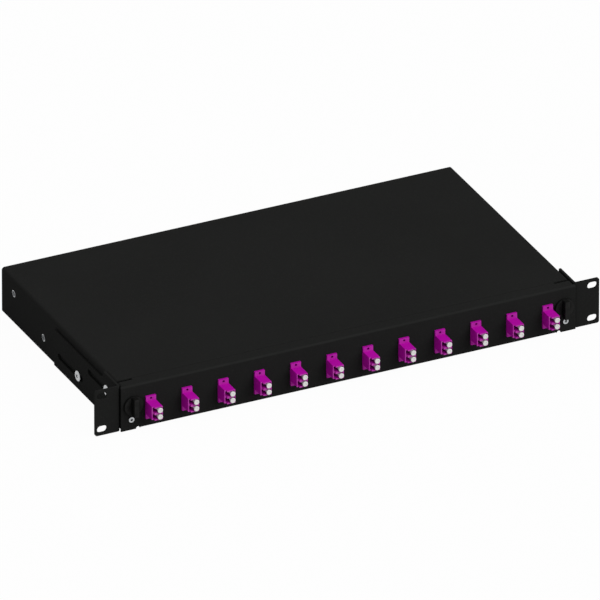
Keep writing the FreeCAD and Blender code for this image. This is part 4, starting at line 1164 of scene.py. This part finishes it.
@dataclass
class DrivenScrews:
    """Base of the screws that show a driven head. A screw stands along Z with its seat at the origin."""

    head_radius: float
    head_height: float
    shank_radius: float
    segments: int = 48
    tip_chamfer_share: float = 0.2
    seat_edge: float = 0.1 * MM
    cut_over: float = 0.5 * MM

    def crown(self) -> Profile:
        """Gives the head's profile from its side to its top."""
        raise NotImplementedError

    def recess(self) -> Shape:
        """Makes the solid that cuts the drive recess."""
        raise NotImplementedError

    def screw(self, shank: float) -> Shape:
        """Makes a screw before its recess is cut.

        Args:
            shank: Length of the shank below the seat.

        Returns:
            The mesh.
        """
        chamfer = self.shank_radius * self.tip_chamfer_share
        profile = [
            (0.0, -shank),
            (self.shank_radius - chamfer, -shank),
            (self.shank_radius, -shank + chamfer),
            (self.shank_radius, 0.0),
            (self.head_radius - self.seat_edge, 0.0),
            (self.head_radius, self.seat_edge),
            *self.crown(),
            (0.0, self.head_height),
        ]
        return lathe(profile, self.segments)

    def drive_in(self, shank: float, spots: Sequence[tuple[Point, Point]]) -> bpy.types.Mesh:
        """Cuts the recess and sets a screw at each spot.

        Args:
            shank: Length of the shank below the seat.
            spots: Place of the seat and XYZ rotation of each screw.

        Returns:
            The mesh of all screws.
        """
        head = put_in_scene("screw", mesh_of("screw", self.screw(shank)))
        drive = put_in_scene("recess", mesh_of("recess", self.recess()))
        mesh = grown(driven_fasteners(), spot_mesh(spots), Slot.ZINC, head=head, drive=drive)
        bpy.data.objects.remove(head)
        bpy.data.objects.remove(drive)
        return mesh


@dataclass
class EarScrews(DrivenScrews):
    """Low pan-head screws with a cross recess that clamp the ears to the housing."""

    head_radius: float = 4.75 * MM
    head_height: float = 1.3 * MM
    shank_radius: float = 2.5 * MM
    rim_height: float = 0.45 * MM
    crown_steps: int = 7
    crown_power: float = 0.45
    recess_width: float = 1.05 * MM
    recess_length: float = 4.6 * MM
    recess_depth: float = 0.9 * MM
    recess_taper: float = 0.75
    shank_past_ear: float = 2.0 * MM
    spins: tuple[float, float] = (0.3, 0.5)

    def crown(self) -> Profile:
        """Gives the pan head's profile.

        Returns:
            Radius and height pairs from the head's side to its top.
        """
        rise = self.head_height - self.rim_height
        turns = [QUARTER * step / self.crown_steps for step in range(self.crown_steps)]
        return [
            (self.head_radius * math.cos(turn) ** self.crown_power, self.rim_height + rise * math.sin(turn))
            for turn in turns
        ]

    def recess(self) -> Shape:
        """Makes the tapered cross that cuts the drive recess.

        Returns:
            The mesh.
        """
        half = self.recess_width / 2
        reach = self.recess_length / 2
        turns = [Matrix.Rotation(QUARTER * quarter, 3, "Z") for quarter in range(4)]
        cross = bmesh.new()
        rings = []
        for height, tip in (
            (self.head_height - self.recess_depth, reach * self.recess_taper),
            (self.head_height + self.cut_over, reach),
        ):
            arm = [Vector((tip, -half, height)), Vector((tip, half, height)), Vector((half, half, height))]
            rings.append([cross.verts.new(turn @ corner) for turn in turns for corner in arm])
        floor, mouth = rings
        cross.faces.new(reversed(floor))
        cross.faces.new(mouth)
        for index in range(len(floor)):
            cross.faces.new((floor[index - 1], floor[index], mouth[index], mouth[index - 1]))
        return cross

    def build(self) -> None:
        """Makes the four screws in place of their CAD node."""
        low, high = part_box("ear_screws")
        seat = high.x - self.head_height
        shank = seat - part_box("rack_ear_right")[0].x + self.shank_past_ear
        places = (
            (low.y + self.head_radius, high.z - self.head_radius),
            (high.y - self.head_radius, low.z + self.head_radius),
        )
        spots = [
            ((side * seat, y, z), turn_towards((side, 0.0, 0.0), side * spin))
            for (y, z), spin in zip(places, self.spins)
            for side in SIDES
        ]
        settle("ear_pan_screws", self.drive_in(shank, spots), Slot.ZINC, Body.HOUSING, ["ear_screws"])


@dataclass
class PanelScrews(DrivenScrews):
    """Low socket screws at the ends of the drawer's front."""

    head_radius: float = 2.6 * MM
    head_height: float = 0.8 * MM
    shank_radius: float = 1.5 * MM
    edge: float = 0.22 * MM
    socket_radius: float = 1.3 * MM
    socket_depth: float = 1.6 * MM
    socket_sides: int = 6
    spin: float = 0.2

    def crown(self) -> Profile:
        """Gives the head's profile from its side to its flat top."""
        return rounded(self.head_radius, self.head_height, self.edge)

    def recess(self) -> Shape:
        """Makes the hexagon that cuts the drive recess.

        Returns:
            The mesh.
        """
        low = self.head_height - self.socket_depth
        high = self.head_height + self.cut_over
        radius = self.socket_radius
        return lathe([(0.0, low), (radius, low), (radius, high), (0.0, high)], self.socket_sides)

    def build(self) -> None:
        """Makes the two screws in place of their CAD node."""
        low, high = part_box("panel_screws")
        seat = low.y + self.head_height
        reach = high.x - self.head_radius
        middle = (low.z + high.z) / 2
        spots = [
            ((side * reach, seat, middle), turn_towards((0.0, -1.0, 0.0), side * self.spin)) for side in SIDES
        ]
        mesh = self.drive_in(high.y - seat, spots)
        settle("panel_socket_screws", mesh, Slot.ZINC, Body.DRAWER, ["panel_screws"])


@dataclass
class LatchKnobs:
    """Quarter-turn knobs: a dished disc on a bored shaft, with a ribbed grip fin across it."""

    panel_gap: float = 0.2 * MM
    disc: float = 2.0 * MM
    edge: float = 0.5 * MM
    rim: float = 2.4 * MM
    dish_depth: float = 0.7 * MM
    dish_rings: int = 6
    shaft_radius: float = 3.5 * MM
    bore: float = 1.55 * MM
    bore_depth: float = 4.4 * MM
    fin_width: float = 4.7 * MM
    fin_length: float = 17.4 * MM
    fin_edge_steps: int = 3
    ribs: int = 7
    rib_pitch: float = 1.8 * MM
    rib_radius: float = 0.35 * MM
    rib_foot_share: float = 1.5
    rib_front_gap: float = 1.2 * MM
    segments: int = 72

    def dished_disc(self, radius: float, shaft: float) -> Shape:
        """Makes the disc and the shaft along Z, with the disc's rear face at the origin.

        Args:
            radius: Radius of the disc.
            shaft: Length of the shaft behind the disc.

        Returns:
            The mesh.
        """
        floor = self.disc - self.dish_depth
        shares = [ring / self.dish_rings for ring in range(self.dish_rings, -1, -1)]
        profile = [
            (0.0, self.bore_depth - shaft),
            (self.bore, self.bore_depth - shaft),
            (self.bore, -shaft),
            (self.shaft_radius - self.edge, -shaft),
            (self.shaft_radius, self.edge - shaft),
            (self.shaft_radius, 0.0),
            (radius, 0.0),
            *rounded(radius, self.disc, self.edge),
            *(((radius - self.rim) * share, floor + self.dish_depth * share ** 2) for share in shares),
        ]
        return lathe(profile, self.segments)

    def fin(self, foot: float, height: float) -> Shape:
        """Makes the fin as a block along Y with rounded edges.

        Args:
            foot: Height of its foot, inside the disc.
            height: Height of its front.

        Returns:
            The mesh.
        """
        shape = bmesh.new()
        corners = bmesh.ops.create_cube(shape, size=1.0)["verts"]
        for corner in corners:
            level = foot if corner.co.z < 0 else height
            corner.co = Vector((corner.co.x * self.fin_width, corner.co.y * self.fin_length, level))
        edges = [edge for edge in shape.edges if max(end.co.z for end in edge.verts) > foot]
        bmesh.ops.bevel(
            shape, geom=edges, offset=self.edge, segments=self.fin_edge_steps, profile=0.5, affect="EDGES"
        )
        return shape

    def build(self, node: str, body: Body) -> None:
        """Makes one knob in place of its CAD node.

        Args:
            node: The CAD node.
            body: The body that turns.
        """
        low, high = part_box(node)
        middle = (low + high) / 2
        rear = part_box("front_panel")[0].y - self.panel_gap
        height = rear - low.y
        foot = (self.disc - self.dish_depth) / 2
        fin = put_in_scene("fin", mesh_of("fin", self.fin(foot, height)))
        rib_foot = self.rib_foot_share * foot
        rib_length = height - self.rib_front_gap - rib_foot
        mesh = grown(
            ribbed_grip(),
            mesh_of("disc", self.dished_disc((high.z - low.z) / 2, high.y - rear)),
            Slot.BLACK,
            fin=fin,
            side=self.fin_width / 2,
            ribs=self.ribs,
            rib_pitch=self.rib_pitch,
            rib_radius=self.rib_radius,
            rib_length=rib_length,
            middle=rib_foot + rib_length / 2,
        )
        bpy.data.objects.remove(fin)
        mesh.transform(Matrix.Translation((middle.x, rear, middle.z)) @ Matrix.Rotation(QUARTER, 4, "X"))
        settle("ribbed_" + node, mesh, Slot.BLACK, body, [node])


@dataclass
class CableEntries:
    """Rubber grommets and blanking plugs in the rear wall."""

    neck_radius: float = 10.2 * MM
    wall: float = 1.2 * MM
    outer_flange: float = 2.0 * MM
    lip: float = 0.6 * MM
    edge: float = 0.7 * MM
    bore: float = 4.5 * MM
    groove_count: int = 2
    groove_depth: float = 0.35 * MM
    groove_start_share: float = 0.3
    groove_width_share: float = 0.4
    dish_radius: float = 8.25 * MM
    pip_foot_radius: float = 2.0 * MM
    pip_top_radius: float = 1.4 * MM
    segments: int = 72

    def outside(self, length: float, radius: float) -> Profile:
        """Gives the outside of an entry piece, with its inner end at the origin.

        Args:
            length: Length from end to end.
            radius: Radius of both flanges.

        Returns:
            Radius and height pairs from the inner end to the outer face.
        """
        wall_out = length - self.outer_flange
        wall_in = wall_out - self.wall
        return [
            (radius - self.edge, 0.0),
            (radius, self.edge),
            (radius, wall_in),
            (self.neck_radius, wall_in),
            (self.neck_radius, wall_out),
            (radius, wall_out),
            *rounded(radius, length, self.edge),
        ]

    def grooves(self, inner: float, outer: float, high: float) -> Profile:
        """Gives shallow ring grooves on a face.

        Args:
            inner: Radius where the grooves end.
            outer: Radius where they start.
            high: Height of the face.

        Returns:
            Radius and height pairs from the outside in.
        """
        pairs = []
        pitch = (outer - inner) / self.groove_count
        low = high - self.groove_depth
        for index in range(self.groove_count):
            start = outer - pitch * (index + self.groove_start_share)
            end = start - pitch * self.groove_width_share
            pairs += [(start, high), (start, low), (end, low), (end, high)]
        return pairs

    def grommet(self, length: float, radius: float) -> Profile:
        """Gives the profile of a grommet with grooves round its bore.

        Args:
            length: Length from end to end.
            radius: Radius of both flanges.

        Returns:
            Radius and height pairs that close in a ring.
        """
        inner = self.bore + self.lip
        return [
            *self.outside(length, radius),
            *self.grooves(inner, radius - self.edge, length),
            (inner, length),
            (self.bore, length - self.lip),
            (self.bore, self.lip),
            (inner, 0.0),
        ]

    def plug(self, length: float, radius: float) -> Profile:
        """Gives the profile of a plug with a pip in its dish.

        Args:
            length: Length from end to end.
            radius: Radius of both flanges.

        Returns:
            Radius and height pairs from the axis to the axis.
        """
        dish = length - self.outer_flange
        return [
            (0.0, 0.0),
            *self.outside(length, radius),
            (self.dish_radius, length),
            (self.dish_radius - self.lip, dish),
            (self.pip_foot_radius, dish),
            (self.pip_top_radius, dish + self.lip),
            (0.0, dish + self.lip),
        ]

    def build(self) -> None:
        """Makes the grommets and the plugs in place of their CAD nodes."""
        for node, name, profile_of in (
            ("cable_grommets", "ribbed_grommets", self.grommet),
            ("blanking_plugs", "dished_plugs", self.plug),
        ):
            low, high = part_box(node)
            radius = (high.z - low.z) / 2
            shape = lathe(profile_of(high.y - low.y, radius), self.segments)
            pair = grown(
                copies_in_rows(), mesh_of(name, shape, Matrix.Rotation(-QUARTER, 4, "X")), Slot.RUBBER,
                first=(low.x + radius, low.y, (low.z + high.z) / 2),
                columns=2,
                column_pitch=high.x - low.x - 2 * radius,
                rows=1,
                row_pitch=0.0,
                twist=0.0,
                seed=0,
            )
            settle(name, pair, Slot.RUBBER, Body.HOUSING, [node])


@dataclass(frozen=True)
class PhotoCamera:
    """The camera at the photograph's viewing angle, far off with a long lens."""

    azimuth: float = -25.58
    elevation: float = 28.145
    aim: Point = (7.433 * MM, 108.852 * MM, 0.0)
    pixel: float = MM / 1.16475
    lens: float = 1600.0
    sensor: float = 36.0
    near_share: float = 0.01
    far_share: float = 2.0

    def build(self) -> None:
        """Makes the camera and hands it to the scene."""
        turn = math.radians(self.azimuth)
        rise = math.radians(self.elevation)
        level = math.cos(rise)
        back = Vector((math.sin(turn) * level, -math.cos(turn) * level, math.sin(rise)))
        distance = self.pixel * IMAGE_PIXELS * self.lens / self.sensor
        data = bpy.data.cameras.new("photo_camera")
        data.lens = self.lens
        data.sensor_width = self.sensor
        data.clip_start = distance * self.near_share
        data.clip_end = distance * self.far_share
        camera = bpy.data.objects.new("photo_camera", data)
        camera.location = Vector(self.aim) + back * distance
        camera.rotation_euler = (-back).to_track_quat("-Z", "Y").to_euler()
        bpy.context.scene.collection.objects.link(camera)
        bpy.context.scene.camera = camera
        log.info("camera at %.2f m", distance)


@dataclass(frozen=True)
class Studio:
    """Pale floor, white surroundings and one broad soft lamp from the right and above."""

    sky_strength: float = 0.5
    lamp_strength: float = 2.3
    lamp_direction: Point = (0.51, -0.52, 0.68)
    lamp_spread: float = 60.0
    floor_size: float = 12.0
    floor_gap: float = 0.3 * MM
    floor_colour: Colour = (0.62, 0.62, 0.62)
    floor_roughness: float = 0.9
    floor_glow: float = 0.97

    def seen_rays(self, sheet: NodeSheet) -> Wire:
        """Marks the rays that show the background itself.

        Args:
            sheet: The tree that the nodes go into.

        Returns:
            1 for camera, glossy and transmission rays, otherwise 0.
        """
        rays = sheet.add("ShaderNodeLightPath").outputs
        first = sheet.maths("MAXIMUM", rays["Is Camera Ray"], rays["Is Glossy Ray"])
        return sheet.maths("MAXIMUM", first, rays["Is Transmission Ray"])

    def build_world(self) -> None:
        """Makes the surroundings: white where they are seen, and a plain light on the object."""
        world = bpy.data.worlds.new("white_surroundings")
        world.use_nodes = True
        world.node_tree.nodes.clear()
        sheet = NodeSheet(world.node_tree)
        light, white = (
            sheet.add("ShaderNodeBackground", {"Color": WHITE_LIGHT, "Strength": strength})
            for strength in (self.sky_strength, 1.0)
        )
        mixed = sheet.blend_shaders(self.seen_rays(sheet), light, white)
        sheet.add("ShaderNodeOutputWorld", {"Surface": mixed})
        bpy.context.scene.world = world

    def build_lamp(self) -> None:
        """Makes the lamp."""
        data = bpy.data.lights.new("soft_lamp", "SUN")
        data.energy = self.lamp_strength
        data.angle = math.radians(self.lamp_spread)
        lamp = bpy.data.objects.new("soft_lamp", data)
        direction = Vector(self.lamp_direction).normalized()
        lamp.rotation_euler = direction.to_track_quat("Z", "Y").to_euler()
        bpy.context.scene.collection.objects.link(lamp)

    def build_floor(self) -> None:
        """Makes the floor, which glows white to the camera and keeps the object's shadow."""
        half = self.floor_size / 2
        height = cad_box[0].z - self.floor_gap
        mesh = bpy.data.meshes.new("floor")
        corners = [(-half, -half, height), (half, -half, height), (half, half, height), (-half, half, height)]
        mesh.from_pydata(corners, [], [(0, 1, 2, 3)])
        sheet = MaterialSheet("pale_floor")
        tone = sheet.effect(tone_drift(), colour=opaque(self.floor_colour), scale=1.5, amount=0.01)
        sheet.shade({"Base Color": tone, "Roughness": self.floor_roughness, "Specular IOR Level": 0.0})
        glow = sheet.add("ShaderNodeEmission", {"Color": WHITE_LIGHT, "Strength": 1.0})
        share = sheet.maths("MULTIPLY", self.seen_rays(sheet), self.floor_glow)
        sheet.show(sheet.blend_shaders(share, sheet.shader, glow))
        mesh.materials.append(sheet.material)
        put_in_scene("floor", mesh)

    def build(self) -> None:
        """Makes the surroundings, the lamp and the floor."""
        self.build_world()
        self.build_lamp()
        self.build_floor()
        bpy.context.scene.view_settings.view_transform = "Standard"
        log.info("studio ready")


def main() -> None:
    """Dresses the CAD nodes, builds the pieces in order and sets up the studio."""
    logging.basicConfig(level=logging.INFO, format="%(name)s %(message)s")
    dress_cad_nodes()
    DustCaps().build("front_dust_caps", QUARTER, seed=3)
    DustCaps().build("rear_dust_caps", -QUARTER, seed=7)
    EarScrews().build()
    PanelScrews().build()
    PressNuts().build()
    LatchKnobs().build("knob_left", Body.KNOB_LEFT)
    LatchKnobs().build("knob_right", Body.KNOB_RIGHT)
    CableEntries().build()
    ThumbNut().build()
    PhotoCamera().build()
    Studio().build()


if __name__ == "__main__":
    main()
